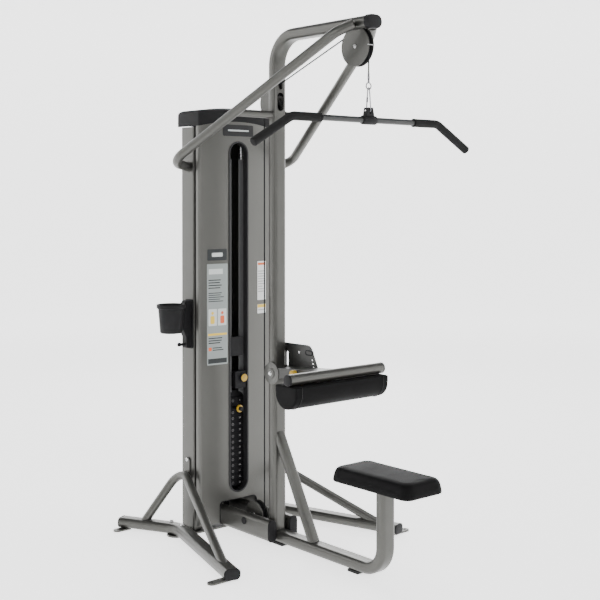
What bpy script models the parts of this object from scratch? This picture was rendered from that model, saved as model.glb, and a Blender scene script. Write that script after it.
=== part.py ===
"""A lat pulldown machine with a selectorised weight stack, modelled in metres.

+Z is up, the user sits facing +Y, and the origin is on the floor below the middle of the
column's front face.  Every sub-part is its own object.  A moving sub-part has its origin on
the axis that it turns about, or at the point that slides.
"""

import math

import bmesh
import bpy
from mathutils import Vector

# ---------------------------------------------------------------- driving dimensions (metres)
GAP = 0.0003  # between pieces that touch
INCH_TUBE = 0.039  # round tube of the braces
STAY_TUBE = 0.042  # round tube of the stays
WALL = 0.0025  # wall of every tube
STAY_END = 0.003  # closed end of each stay, at the boom

OVAL_WIDTH = 0.075  # flat-sided oval tube of the column, boom, rail and post
OVAL_DEPTH = 0.050
OVAL_RADIUS = 0.020

COLUMN_Y = 0.025
BOOM_Z = 2.255
BOOM_END_Y = -0.574
BOOM_BEND = 0.130
CROSSBAR = (0.020, 1.909)  # y and z of the round bars between the column and the stays
RAIL_Z = 0.036
RAIL_BACK_Y = 0.050
RAIL_BEND = 0.100
POST_Y = -0.660
POST_TOP_Z = 0.372
CAP_THICK = 0.006

BEAM_WIDTH = 0.045
BEAM_HEIGHT = 0.095
BEAM_Z = 0.0655
BEAM_X = 0.0606
BEAM_FRONT_Y = -0.012
BEAM_BACK_Y = 0.470

UPRIGHT_X = 0.180
UPRIGHT_Y = 0.428
UPRIGHT_WIDTH = 0.050
UPRIGHT_DEPTH = 0.100
UPRIGHT_BOTTOM = 0.0083
UPRIGHT_TOP = 1.866

SHROUD_HALF = 0.212
SHROUD_FRONT_Y = 0.308
SHROUD_SAG = 0.016
SHROUD_SIDE = 0.026
SHROUD_SHEET = 0.0025
SHROUD_BOTTOM = 0.040
SHROUD_TOP = 1.868
SHROUD_ARCH = 0.025
SLOT_HALF = 0.054
SLOT_LOW = 0.168
SLOT_HIGH = 1.800
GUARD_X = (0.0205, 0.0530)
GUARD_Y = (0.3345, 0.3380)
GUARD_Z = (0.618, 1.722)

STAB_WIDTH = 0.070
STAB_HEIGHT = 0.045
STAB_Z = 0.0308
STAB_FRONT = (0.474, -0.268)
STAB_BEND = (0.278, 0.385)
STAB_REAR = (0.418, 0.655)
TAB_THICK = 0.008

CABLE_R = 0.003
BOOM_PULLEY = (-0.4960, 2.1620, 0.0655, 0.0775)  # y, z, radius at the cable's centre, rim
COLUMN_PULLEY = (0.0600, 1.9660, 0.0550, 0.0615)
BASE_PULLEY = (0.1700, 0.0900, 0.0550, 0.0615)
REAR_PULLEY = (0.4450, 0.0800, 0.0450, 0.0515)
TOP_PULLEY = (0.4500, 1.7900, 0.0400, 0.0465)
PULLEY_WIDTH = 0.020
AXLE_R = 0.008

ROD_X = 0.095
ROD_Y = 0.410
ROD_R = 0.010
PLATE_HALF_X = 0.140
PLATE_Y = (0.353, 0.463)
PLATE_PITCH = 0.0277
PLATE_COUNT = 15
LIFTED_PLATES = 2
STACK_BOTTOM = 0.1840
STACK_TOP = STACK_BOTTOM + PLATE_COUNT * PLATE_PITCH

BAR_Y = -0.5615
BAR_Z = 1.857
BAR_R = 0.0125
BAR_BEND_X = 0.408
BAR_END = (0.592, 1.752)
GRIP_INNER_X = 0.259
GRIP_R = 0.0185

HINGE_Y = 0.010
HINGE_BOLT_R = 0.0055
HINGE_Z = 0.762
THIGH_Y = -0.366
THIGH_Z = 0.800
THIGH_TUBE_R = 0.0235
THIGH_HALF = 0.262
LOCK_Y = -0.160

SEAT_HALF_X = 0.103
SEAT_Y = (-0.880, -0.451)
SEAT_Z = (0.382, 0.446)


# ---------------------------------------------------------------- materials
def make_material(name, colour, roughness, metallic):
    material = bpy.data.materials.new(name)
    material.use_nodes = True
    shader = material.node_tree.nodes["Principled BSDF"]
    shader.inputs["Base Color"].default_value = (*colour, 1.0)
    shader.inputs["Roughness"].default_value = roughness
    shader.inputs["Metallic"].default_value = metallic
    return material


def make_materials():
    return {
        "frame_paint": make_material("frame_paint", (0.27, 0.27, 0.25), 0.38, 0.55),
        "shroud_paint": make_material("shroud_paint", (0.29, 0.29, 0.27), 0.42, 0.45),
        "black_plastic": make_material("black_plastic", (0.022, 0.022, 0.024), 0.55, 0.0),
        "rubber": make_material("rubber", (0.020, 0.020, 0.020), 0.80, 0.0),
        "steel": make_material("steel", (0.62, 0.62, 0.62), 0.25, 1.0),
        "cast_plate": make_material("cast_plate", (0.035, 0.035, 0.037), 0.60, 0.4),
        "cable": make_material("cable", (0.03, 0.03, 0.03), 0.45, 0.0),
        "pad_vinyl": make_material("pad_vinyl", (0.018, 0.018, 0.019), 0.50, 0.0),
        "bar_paint": make_material("bar_paint", (0.045, 0.047, 0.047), 0.35, 0.3),
        "bracket_paint": make_material("bracket_paint", (0.075, 0.075, 0.070), 0.45, 0.5),
        "yellow": make_material("yellow", (0.62, 0.40, 0.04), 0.35, 0.0),
    }


# ---------------------------------------------------------------- outlines and paths
def arc_points(centre, radius, start, end, steps):
    """Points on an arc in a plane, from angle start to angle end in degrees."""
    found = []
    for i in range(steps + 1):
        angle = math.radians(start + (end - start) * i / steps)
        found.append((centre[0] + radius * math.cos(angle), centre[1] + radius * math.sin(angle)))
    return found


def rounded_rectangle(width, height, radius, steps=3):
    """A closed outline with round corners, counter-clockwise, centred on zero."""
    x = width / 2 - radius
    y = height / 2 - radius
    outline = []
    for centre, start in (((x, y), 0), ((-x, y), 90), ((-x, -y), 180), ((x, -y), 270)):
        outline += arc_points(centre, radius, start, start + 90, steps)
    return outline


def circle(radius, steps):
    return arc_points((0, 0), radius, 0, 360 - 360 / steps, steps - 1)


def oval(grow=0.0):
    return rounded_rectangle(OVAL_WIDTH + 2 * grow, OVAL_DEPTH + 2 * grow, OVAL_RADIUS + grow)


def fillet(points, radii, steps=8):
    """A path through the points, with each inner corner turned into an arc of its radius."""
    points = [Vector(p) for p in points]
    path = [points[0]]
    for i in range(1, len(points) - 1):
        before = (points[i - 1] - points[i]).normalized()
        after = (points[i + 1] - points[i]).normalized()
        half = before.angle(after) / 2
        reach = radii[i - 1] / math.tan(half)
        centre = points[i] + (before + after).normalized() * radii[i - 1] / math.sin(half)
        first = points[i] + before * reach - centre
        last = points[i] + after * reach - centre
        turn = first.angle(last)
        for k in range(steps + 1):
            a = math.sin(turn * (1 - k / steps)) / math.sin(turn)
            b = math.sin(turn * k / steps) / math.sin(turn)
            path.append(centre + first * a + last * b)
    path.append(points[-1])
    return path


def stations(path, reference, closed=False):
    """A pair of cross-section axes for each point of a path, carried along without twist."""
    count = len(path)
    side = Vector(reference)
    found = []
    for i, point in enumerate(path):
        ahead = path[(i + 1) % count] if closed or i + 1 < count else point
        behind = path[i - 1] if closed or i > 0 else point
        into = (point - behind).normalized()
        out = (ahead - point).normalized()
        along = (into + out).normalized()
        side = (side - along * side.dot(along)).normalized()
        found.append((point, side.copy(), along.cross(side)))
    return found


# ---------------------------------------------------------------- mesh builders
def add_ring(mesh, station, outline):
    point, side, up = station
    return [mesh.verts.new(point + side * u + up * v) for u, v in outline]


def join_rings(mesh, first, second):
    count = len(first)
    for i in range(count):
        j = (i + 1) % count
        mesh.faces.new((first[i], first[j], second[j], second[i]))


def swept_mesh(path, outline, reference, inner=None, closed=False, blind=0):
    """Sweeps an outline along a path.  With inner, the result is a tube; blind closes its far end
    over that many stations."""
    mesh = bmesh.new()
    frames = stations(path, reference, closed)
    outer = [add_ring(mesh, s, outline) for s in frames]
    for first, second in zip(outer, outer[1:]):
        join_rings(mesh, first, second)
    if closed:
        join_rings(mesh, outer[-1], outer[0])
    elif inner is None:
        mesh.faces.new(outer[0])
        mesh.faces.new(outer[-1])
    else:
        bores = [add_ring(mesh, s, inner) for s in frames[: len(frames) - blind]]
        for first, second in zip(bores, bores[1:]):
            join_rings(mesh, second, first)
        join_rings(mesh, bores[0], outer[0])
        if blind:
            mesh.faces.new(bores[-1])
            mesh.faces.new(outer[-1])
        else:
            join_rings(mesh, outer[-1], bores[-1])
    return mesh


def prism_mesh(outline, axis, low, high):
    """Extrudes a closed outline along a main axis.  The outline holds the other two coordinates,
    in X, Y, Z order."""
    mesh = bmesh.new()
    rings = []
    for level in (low, high):
        ring = []
        for a, b in outline:
            place = {"x": (level, a, b), "y": (a, level, b), "z": (a, b, level)}[axis]
            ring.append(mesh.verts.new(place))
        rings.append(ring)
    join_rings(mesh, rings[0], rings[1])
    mesh.faces.new(rings[0])
    mesh.faces.new(rings[1])
    return mesh


def turned_mesh(profile, centre, axis, steps=24, ring=False):
    """Turns a profile of (distance along the axis, radius) points about a main axis.  A ring
    profile is closed and stays off the axis; any other one starts and ends on it."""
    mesh = bmesh.new()
    centre = Vector(centre)
    along = {"x": Vector((1, 0, 0)), "y": Vector((0, 1, 0)), "z": Vector((0, 0, 1))}[axis]
    side = {"x": Vector((0, 1, 0)), "y": Vector((0, 0, 1)), "z": Vector((1, 0, 0))}[axis]
    up = along.cross(side)
    loops = []
    for t, r in profile:
        if r < 1e-6:
            loops.append([mesh.verts.new(centre + along * t)])
            continue
        loop = []
        for i in range(steps):
            angle = 2 * math.pi * i / steps
            spoke = side * math.cos(angle) + up * math.sin(angle)
            loop.append(mesh.verts.new(centre + along * t + spoke * r))
        loops.append(loop)
    pairs = list(zip(loops, loops[1:]))
    if ring:
        pairs.append((loops[-1], loops[0]))
    for first, second in pairs:
        for i in range(steps):
            j = (i + 1) % steps
            if len(first) == 1:
                mesh.faces.new((first[0], second[j], second[i]))
            elif len(second) == 1:
                mesh.faces.new((first[i], first[j], second[0]))
            else:
                mesh.faces.new((first[i], first[j], second[j], second[i]))
    return mesh


def box_mesh(low, high, radius=0.0, steps=2):
    """A box between two corners, with its edges rounded when a radius is given."""
    mesh = bmesh.new()
    bmesh.ops.create_cube(mesh, size=1.0)
    low = Vector(low)
    high = Vector(high)
    for vert in mesh.verts:
        vert.co = Vector(
            (low[k] + (vert.co[k] + 0.5) * (high[k] - low[k])) for k in range(3)
        )
    if radius:
        bmesh.ops.bevel(
            mesh, geom=mesh.edges[:], offset=radius, segments=steps, profile=0.5, affect="EDGES"
        )
    return mesh


def rod_mesh(start, end, radius, steps=16):
    """A solid round rod between two points."""
    path = [Vector(start), Vector(end)]
    along = (path[1] - path[0]).normalized()
    reference = (1, 0, 0) if abs(along.x) < 0.9 else (0, 1, 0)
    return swept_mesh(path, circle(radius, steps), reference)


# ---------------------------------------------------------------- objects
def add_object(name, mesh, material, origin=(0, 0, 0)):
    """Makes an object of a mesh.  Its origin goes to the given point and the shape stays put."""
    bmesh.ops.recalc_face_normals(mesh, faces=mesh.faces[:])
    data = bpy.data.meshes.new(name)
    for vert in mesh.verts:
        vert.co -= Vector(origin)
    mesh.to_mesh(data)
    mesh.free()
    data.shade_smooth()
    data.set_sharp_from_angle(angle=math.radians(35))
    obj = bpy.data.objects.new(name, data)
    obj.location = origin
    bpy.context.scene.collection.objects.link(obj)
    if material is not None:
        data.materials.append(material)
    return obj


def helper(name, mesh):
    """A hidden object that another one is cut by or joined with."""
    obj = add_object(name, mesh, None)
    obj.hide_render = True
    obj.display_type = "WIRE"
    return obj


def combine(obj, mesh, operation):
    tool = helper(f"{obj.name}_{operation.lower()}_{len(obj.modifiers)}", mesh)
    modifier = obj.modifiers.new(tool.name, "BOOLEAN")
    modifier.operation = operation
    modifier.solver = "EXACT"
    modifier.object = tool


def cut(obj, mesh):
    combine(obj, mesh, "DIFFERENCE")


def weld(obj, mesh):
    combine(obj, mesh, "UNION")


# ---------------------------------------------------------------- column, boom, rail and seat post
def column_path():
    top = (0, COLUMN_Y, BOOM_Z)
    bottom = (0, COLUMN_Y, RAIL_Z + OVAL_DEPTH / 2 + GAP)
    return fillet([bottom, top, (0, BOOM_END_Y, BOOM_Z)], [BOOM_BEND], 8)


def rail_path():
    corner = (0, POST_Y, RAIL_Z)
    return fillet([(0, RAIL_BACK_Y, RAIL_Z), corner, (0, POST_Y, POST_TOP_Z)], [RAIL_BEND], 8)


def build_column(materials):
    mesh = swept_mesh(column_path(), oval(), (1, 0, 0), inner=oval(-WALL))
    column = add_object("column_and_boom", mesh, materials["frame_paint"])
    slot = [(u, v + 1.9675) for u, v in rounded_rectangle(0.034, 0.081, 0.0168, 4)]
    cut(column, prism_mesh(slot, "y", -0.02, 0.07))
    back = rounded_rectangle(0.034, 0.170, 0.010, 2)
    cut(column, prism_mesh([(u, v + COLUMN_PULLEY[1]) for u, v in back], "y", 0.03, 0.07))
    hole = [(u, v + 2.0440) for u, v in rounded_rectangle(0.024, 0.042, 0.0118, 4)]
    cut(column, prism_mesh(hole, "y", -0.02, 0.03))
    slot_low = (-0.0112, BOOM_PULLEY[0] - 0.050, 2.220)
    cut(column, box_mesh(slot_low, (0.0112, BOOM_PULLEY[0] + 0.075, 2.240)))
    cut(column, rod_mesh((-0.06, HINGE_Y, HINGE_Z), (0.06, HINGE_Y, HINGE_Z), HINGE_BOLT_R + GAP, 14))
    for side in (-1, 1):
        weld(column, rod_mesh((side * 0.0360, *CROSSBAR), (side * 0.2440, *CROSSBAR), 0.017))
        cut(column, swept_mesh(stay_path(side), circle(STAY_TUBE / 2 + GAP, 14), (0, 0, 1)))


def build_boom_cap(materials):
    mesh = prism_mesh(
        [(u, v + BOOM_Z) for u, v in rounded_rectangle(0.079, 0.054, 0.022, 4)],
        "y",
        BOOM_END_Y - GAP - CAP_THICK,
        BOOM_END_Y - GAP,
    )
    add_object("boom_end_cap", mesh, materials["black_plastic"])


def build_rail(materials):
    mesh = swept_mesh(rail_path(), oval(), (1, 0, 0), inner=oval(-WALL))
    rail = add_object("seat_rail_and_post", mesh, materials["frame_paint"])
    low = (-0.055, POST_Y - 0.110, POST_TOP_Z - 0.001)
    high = (0.055, POST_Y + 0.110, SEAT_Z[0] - GAP)
    weld(rail, box_mesh(low, high))


def build_rail_brace(materials):
    """The oval brace from the column's front face down to the top of the rail."""
    path = fillet([(0, 0.03, 0.520), (0, -0.060, 0.360), (0, -0.245, 0.020)], [0.5], 8)
    outline = rounded_rectangle(0.050, 0.034, 0.012)
    inner = rounded_rectangle(0.045, 0.029, 0.0095)
    brace = add_object(
        "rail_brace", swept_mesh(path, outline, (1, 0, 0), inner=inner), materials["frame_paint"]
    )
    cut(brace, swept_mesh(column_path(), oval(GAP), (1, 0, 0)))
    cut(brace, swept_mesh(rail_path(), oval(GAP), (1, 0, 0)))


def build_rail_feet(materials):
    for name, y, half in (("column_foot", 0.0, 0.045), ("rail_front_foot", -0.500, 0.030)):
        mesh = box_mesh((-0.030, y - half, 0), (0.030, y + half, RAIL_Z - OVAL_DEPTH / 2 - GAP))
        add_object(name, mesh, materials["rubber"])


# ---------------------------------------------------------------- base beams and stabilisers
def beam_profile(grow=0.0):
    return rounded_rectangle(BEAM_WIDTH + 2 * grow, BEAM_HEIGHT + 2 * grow, 0.020 + grow)


def build_beams(materials):
    for name, side in (("left", -1), ("right", 1)):
        path = [Vector((side * BEAM_X, BEAM_FRONT_Y, BEAM_Z)), Vector((side * BEAM_X, BEAM_BACK_Y, BEAM_Z))]
        mesh = swept_mesh(path, beam_profile(), (1, 0, 0), inner=beam_profile(-WALL))
        beam = add_object(f"base_beam_{name}", mesh, materials["frame_paint"])
        if side < 0:
            for y, z in (BASE_PULLEY[:2], REAR_PULLEY[:2]):
                weld(beam, rod_mesh((-BEAM_X - 0.010, y, z), (0.0365, y, z), AXLE_R))


def stabiliser_path(side):
    front = (side * STAB_FRONT[0], STAB_FRONT[1], STAB_Z)
    bend = (side * STAB_BEND[0], STAB_BEND[1], STAB_Z)
    rear = (side * STAB_REAR[0], STAB_REAR[1], STAB_Z)
    return fillet([front, bend, rear], [0.16], 8)


def stabiliser_profile(grow=0.0):
    return rounded_rectangle(STAB_HEIGHT + 2 * grow, STAB_WIDTH + 2 * grow, 0.019 + grow)


def floor_tab(x, y, angle, length, half):
    """A flat plate on the floor with one round end, pointing away at the given angle."""
    outline = arc_points((length, 0), half, -90, 90, 6) + [(0, half), (0, -half)]
    turn = math.radians(angle)
    placed = []
    for u, v in outline:
        placed.append((x + u * math.cos(turn) - v * math.sin(turn), y + u * math.sin(turn) + v * math.cos(turn)))
    return prism_mesh(placed, "z", 0, TAB_THICK + 0.002)


def build_stabilisers(materials):
    for name, side in (("left", -1), ("right", 1)):
        path = stabiliser_path(side)
        inner = stabiliser_profile(-WALL)
        mesh = swept_mesh(path, stabiliser_profile(), (0, 0, 1), inner=inner)
        tube = add_object(f"stabiliser_{name}", mesh, materials["frame_paint"])
        outward = 180 if side < 0 else 0
        front = path[0] + (path[1] - path[0]).normalized() * 0.035
        weld(tube, floor_tab(front.x, front.y, outward, 0.085, 0.020))
        rear = path[-1] + (path[-2] - path[-1]).normalized() * 0.035
        weld(tube, floor_tab(rear.x, rear.y, outward, 0.060, 0.020))


def brace_path(side):
    front = (side * 0.450, -0.186, 0.034)
    apex = (side * 0.2240, 0.4460, 0.2925)
    rear = (side * 0.366, 0.556, 0.034)
    return fillet([front, apex, rear], [0.085], 8)


def build_stabiliser_braces(materials):
    """The bent round tubes that stand on each stabiliser and bolt to the tower's upright."""
    for name, side in (("left", -1), ("right", 1)):
        mesh = swept_mesh(
            brace_path(side), circle(INCH_TUBE / 2, 12), (0, 0, 1), inner=circle(INCH_TUBE / 2 - WALL, 12)
        )
        brace = add_object(f"stabiliser_brace_{name}", mesh, materials["frame_paint"])
        cut(brace, swept_mesh(stabiliser_path(side), stabiliser_profile(GAP), (0, 0, 1)))
        inner_face = side * (UPRIGHT_X + UPRIGHT_WIDTH / 2 + GAP)
        outer_face = inner_face + side * 0.006
        plate = [(y, z) for y, z in rounded_rectangle(0.036, 0.110, 0.016, 3)]
        plate = [(y + 0.424, z + 0.285) for y, z in plate]
        weld(brace, prism_mesh(plate, "x", min(inner_face, outer_face), max(inner_face, outer_face)))
        near = outer_face - side * 0.002
        far = side * 0.2430
        weld(brace, box_mesh((min(near, far), 0.408, 0.242), (max(near, far), 0.440, 0.274)))


# ---------------------------------------------------------------- stays between boom and tower
def stay_path(side):
    boom = (side * 0.0520, -0.530, 2.2470)
    near = (side * 0.0960, -0.470, 2.2160)
    hook = (side * 0.345, 0.350, 1.700)
    tower = (side * (UPRIGHT_X + UPRIGHT_WIDTH / 2 - 0.01), 0.422, 1.681)
    bends = fillet([tower, hook, near, boom], [0.095, 0.12], 8)
    along = (bends[-2] - bends[-1]).normalized()
    return bends[:-1] + [bends[-1] + along * STAY_END, bends[-1]]


def build_stays(materials):
    for name, side in (("left", -1), ("right", 1)):
        mesh = swept_mesh(
            stay_path(side), circle(STAY_TUBE / 2, 14), (0, 0, 1),
            inner=circle(STAY_TUBE / 2 - WALL, 14), blind=1,
        )
        stay = add_object(f"stay_{name}", mesh, materials["frame_paint"])
        cut(stay, swept_mesh(column_path(), oval(GAP), (1, 0, 0)))
        cut(stay, upright_mesh(side, GAP))


# ---------------------------------------------------------------- tower
def upright_outline(side, grow=0.0):
    outline = rounded_rectangle(UPRIGHT_WIDTH + 2 * grow, UPRIGHT_DEPTH + 2 * grow, 0.008 + grow, 2)
    return [(u + side * UPRIGHT_X, v + UPRIGHT_Y) for u, v in outline]


def upright_mesh(side, grow=0.0):
    return prism_mesh(upright_outline(side, grow), "z", UPRIGHT_BOTTOM - grow, UPRIGHT_TOP + grow)


def build_uprights(materials):
    for name, side in (("left", -1), ("right", 1)):
        centre = (side * UPRIGHT_X, UPRIGHT_Y)
        path = [Vector((*centre, UPRIGHT_BOTTOM)), Vector((*centre, UPRIGHT_TOP))]
        outline = rounded_rectangle(UPRIGHT_WIDTH, UPRIGHT_DEPTH, 0.008, 2)
        inner = rounded_rectangle(UPRIGHT_WIDTH - 2 * WALL, UPRIGHT_DEPTH - 2 * WALL, 0.0055, 2)
        mesh = swept_mesh(path, outline, (1, 0, 0), inner=inner)
        add_object(f"tower_upright_{name}", mesh, materials["frame_paint"])


def build_tower_base(materials):
    outline = arc_points((0.290, 0.395), 0.045, -90, 90, 6) + arc_points((-0.290, 0.395), 0.045, 90, 270, 6)
    plate = prism_mesh(outline, "z", 0, TAB_THICK)
    add_object("tower_base_plate", plate, materials["frame_paint"])
    base = box_mesh((-0.1547, 0.345, 0.1450), (0.1547, 0.478, 0.1570))
    base = add_object("stack_base", base, materials["frame_paint"])
    for side in (-1, 1):
        x = side * BEAM_X
        low = (x - 0.012, 0.360, BEAM_Z + BEAM_HEIGHT / 2 + GAP)
        weld(base, box_mesh(low, (x + 0.012, 0.460, 0.1460)))
    top = box_mesh((-0.1547, 0.385, 1.8450), (0.1547, 0.470, 1.8600))
    top = add_object("tower_top_crossmember", top, materials["frame_paint"])
    y, z = TOP_PULLEY[:2]
    for side in (-1, 1):
        inner = side * 0.0125
        outer = side * 0.0165
        low = (min(inner, outer), y - 0.018, z - 0.018)
        weld(top, box_mesh(low, (max(inner, outer), y + 0.018, 1.8460)))
    weld(top, rod_mesh((-0.0145, y, z), (0.0145, y, z), AXLE_R))


def shroud_front_y(x):
    return SHROUD_FRONT_Y + SHROUD_SAG * (x / SHROUD_HALF) ** 2


def shroud_top_z(x):
    return SHROUD_TOP + SHROUD_ARCH * (1 - (x / SHROUD_HALF) ** 2)


def shroud_curve(inset):
    """Half-open outline of the front shroud seen from above, left side to right side."""
    radius = 0.014 - inset
    half = SHROUD_HALF - inset
    steps = 14
    front = []
    for i in range(steps + 1):
        x = -half + radius + 2 * (half - radius) * i / steps
        front.append((x, shroud_front_y(x) + inset))
    left_y = front[0][1] + radius
    left = arc_points((-half + radius, left_y), radius, 180, 270, 3)[:-1]
    right = arc_points((half - radius, left_y), radius, 270, 360, 3)[1:]
    back = SHROUD_FRONT_Y + SHROUD_SAG + SHROUD_SIDE
    return [(-half, back)] + left + front + right + [(half, back)]


def build_front_shroud(materials):
    mesh = bmesh.new()
    rings = []
    for inset in (0.0, SHROUD_SHEET):
        for top in (False, True):
            ring = []
            for x, y in shroud_curve(inset):
                z = shroud_top_z(x) if top else SHROUD_BOTTOM
                ring.append(mesh.verts.new((x, y, z)))
            rings.append(ring)
    outer_low, outer_high, inner_low, inner_high = rings
    loop = (outer_low, outer_high, inner_high, inner_low)
    for first, second in zip(loop, loop[1:] + loop[:1]):
        for i in range(len(first) - 1):
            mesh.faces.new((first[i], first[i + 1], second[i + 1], second[i]))
    for i in (0, -1):
        mesh.faces.new([ring[i] for ring in loop])
    shroud = add_object("front_shroud", mesh, materials["shroud_paint"])
    cut(shroud, prism_mesh(slot_outline(SLOT_HALF), "y", 0.29, 0.36))
    notch = [(-0.106, 0.0), (0.106, 0.0)] + arc_points((0.086, 0.116), 0.020, 0, 90, 4)
    notch += arc_points((-0.086, 0.116), 0.020, 90, 180, 4)
    cut(shroud, prism_mesh(notch, "y", 0.29, 0.36))


def slot_outline(half):
    low = SLOT_LOW + SLOT_HALF
    high = SLOT_HIGH - SLOT_HALF
    return arc_points((0, high), half, 0, 180, 10) + arc_points((0, low), half, 180, 360, 10)


def guard_outline(side):
    """One of the two strips that narrow the slot; its lower end follows an arch."""
    inner, outer = GUARD_X
    low, high = GUARD_Z
    points = [(inner, low + 0.012), (0.036, low + 0.008), (0.046, low), (outer, low - 0.018)]
    points += [(outer, high - 0.030), (0.046, high - 0.006), (inner, high)]
    return [(side * x, z) for x, z in points]


def build_slot_bezel(materials):
    bezel = prism_mesh(slot_outline(SLOT_HALF - GAP), "y", SHROUD_FRONT_Y - 0.0020, 0.3380)
    bezel = add_object("slot_bezel", bezel, materials["black_plastic"])
    cut(bezel, prism_mesh(slot_outline(SLOT_HALF - 0.0045), "y", 0.28, 0.37))
    for side in (-1, 1):
        weld(bezel, prism_mesh(guard_outline(side), "y", *GUARD_Y))


def build_rear_shroud(materials):
    outline = [(-0.198, 0.4785), (-0.155, 0.4785), (-0.155, 0.5135), (0.155, 0.5135)]
    outline += [(0.155, 0.4785), (0.198, 0.4785), (0.198, 0.4810), (0.1575, 0.4810)]
    outline += [(0.1575, 0.5160), (-0.1575, 0.5160), (-0.1575, 0.4810), (-0.198, 0.4810)]
    mesh = prism_mesh(outline, "z", SHROUD_BOTTOM, 1.8600)
    add_object("rear_shroud", mesh, materials["shroud_paint"])


def cap_outline():
    """Closed outline of the tower's cap seen from above."""
    corner = SHROUD_HALF - 0.045
    back = [(SHROUD_HALF, 0.4800), (corner, 0.5200), (-corner, 0.5200), (-SHROUD_HALF, 0.4800)]
    return shroud_curve(0.0)[1:-1] + back


def build_top_cap(materials):
    levels = [(0.003, 1.9210), (0.003, None), (0.0, None), (0.0, 1.9240)]
    levels += [(0.006, 1.9340), (0.030, 1.9500), (0.090, 1.9590)]
    mesh = bmesh.new()
    rings = []
    for inset, z in levels:
        ring = []
        for x, y in cap_outline():
            near = 1 - inset / SHROUD_HALF
            depth = 0.414 + (y - 0.414) * (1 - inset / 0.106)
            level = shroud_top_z(x) + 2 * GAP if z is None else z
            ring.append(mesh.verts.new((x * near, depth, level)))
        rings.append(ring)
    for first, second in zip(rings, rings[1:]):
        join_rings(mesh, first, second)
    mesh.faces.new(rings[0])
    mesh.faces.new(rings[-1])
    add_object("tower_top_cap", mesh, materials["black_plastic"])


# ---------------------------------------------------------------- weight stack
def build_guide_rods(materials):
    for name, side in (("left", -1), ("right", 1)):
        x = side * ROD_X
        rod = rod_mesh((x, ROD_Y, 0.1573), (x, ROD_Y, 1.8447), ROD_R)
        add_object(f"guide_rod_{name}", rod, materials["steel"])
        ring = [(0.1573, 0.0108), (0.1573, 0.0200), (STACK_BOTTOM - GAP, 0.0200), (STACK_BOTTOM - GAP, 0.0108)]
        bumper = turned_mesh(ring, (x, ROD_Y, 0), "z", 16, ring=True)
        add_object(f"stack_bumper_{name}", bumper, materials["rubber"])


def plates_outline(first, last):
    """Side view (y, z) of a pile of plates, with a shallow groove at each joint."""
    groove = 0.0012
    front = []
    back = []
    for i in range(first, last):
        low = STACK_BOTTOM + i * PLATE_PITCH
        high = low + PLATE_PITCH
        if i > first:
            low += groove
        if i < last - 1:
            high -= groove
        front += [(PLATE_Y[0], low), (PLATE_Y[0], high)]
        back += [(PLATE_Y[1], low), (PLATE_Y[1], high)]
        if i < last - 1:
            joint = STACK_BOTTOM + (i + 1) * PLATE_PITCH
            front.append((PLATE_Y[0] + groove, joint))
            back.append((PLATE_Y[1] - groove, joint))
    return front + back[::-1]


def drill_rods(obj, low, high):
    for side in (-1, 1):
        x = side * ROD_X
        cut(obj, rod_mesh((x, ROD_Y, low - 0.01), (x, ROD_Y, high + 0.01), ROD_R + 0.0008))


def pin_z():
    return STACK_TOP - (LIFTED_PLATES - 0.5) * PLATE_PITCH


def build_stack(materials):
    split = PLATE_COUNT - LIFTED_PLATES
    stem_r = 0.0110
    lower = prism_mesh(plates_outline(0, split), "x", -PLATE_HALF_X, PLATE_HALF_X)
    lower = add_object("weight_plates_resting", lower, materials["cast_plate"])
    split_z = STACK_BOTTOM + split * PLATE_PITCH
    drill_rods(lower, STACK_BOTTOM, split_z)
    cut(lower, rod_mesh((0, ROD_Y, STACK_BOTTOM - 0.01), (0, ROD_Y, split_z + 0.01), stem_r + 0.0010))

    outline = [(y, z + (GAP if z < split_z + 1e-6 else 0)) for y, z in plates_outline(split, PLATE_COUNT)]
    upper = prism_mesh(outline, "x", -PLATE_HALF_X, PLATE_HALF_X)
    upper = add_object("weight_plates_lifted", upper, materials["cast_plate"], (0, ROD_Y, STACK_TOP))
    drill_rods(upper, split_z, STACK_TOP)
    cut(upper, rod_mesh((0, ROD_Y, split_z - 0.01), (0, ROD_Y, STACK_TOP + 0.01), stem_r + 0.0005))
    cut(upper, rod_mesh((0, PLATE_Y[0] - 0.01, pin_z()), (0, 0.452, pin_z()), 0.0055, 12))

    head_low = STACK_TOP + GAP
    stem = rod_mesh((0, ROD_Y, STACK_BOTTOM + 0.015), (0, ROD_Y, 0.925), stem_r, 14)
    stem = add_object("selector_stem_and_head", stem, materials["cast_plate"], (0, ROD_Y, STACK_TOP))
    weld(stem, box_mesh((-0.120, 0.362, head_low), (0.120, 0.456, head_low + 0.034)))
    weld(stem, box_mesh((-0.018, 0.309, 0.652), (0.043, 0.332, 0.730)))
    weld(stem, box_mesh((-0.016, 0.330, 0.658), (0.016, 0.430, 0.722)))
    weld(stem, rod_mesh((0, 0.400, head_low + 0.030), (0, 0.400, 0.66), 0.020, 14))
    drill_rods(stem, head_low, head_low + 0.034)
    cut(stem, rod_mesh((0, PLATE_Y[0] - 0.01, pin_z()), (0, 0.452, pin_z()), 0.0055, 12))

    block = box_mesh((-0.046, 0.3145, 0.804), (0.029, 0.332, 0.892))
    block = add_object("increment_weight", block, materials["black_plastic"], (0, ROD_Y, STACK_TOP))
    weld(block, box_mesh((-0.018, 0.330, 0.812), (0.018, 0.432, 0.884)))
    cut(block, rod_mesh((0, ROD_Y, 0.79), (0, ROD_Y, 0.90), stem_r + 0.0008))


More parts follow.
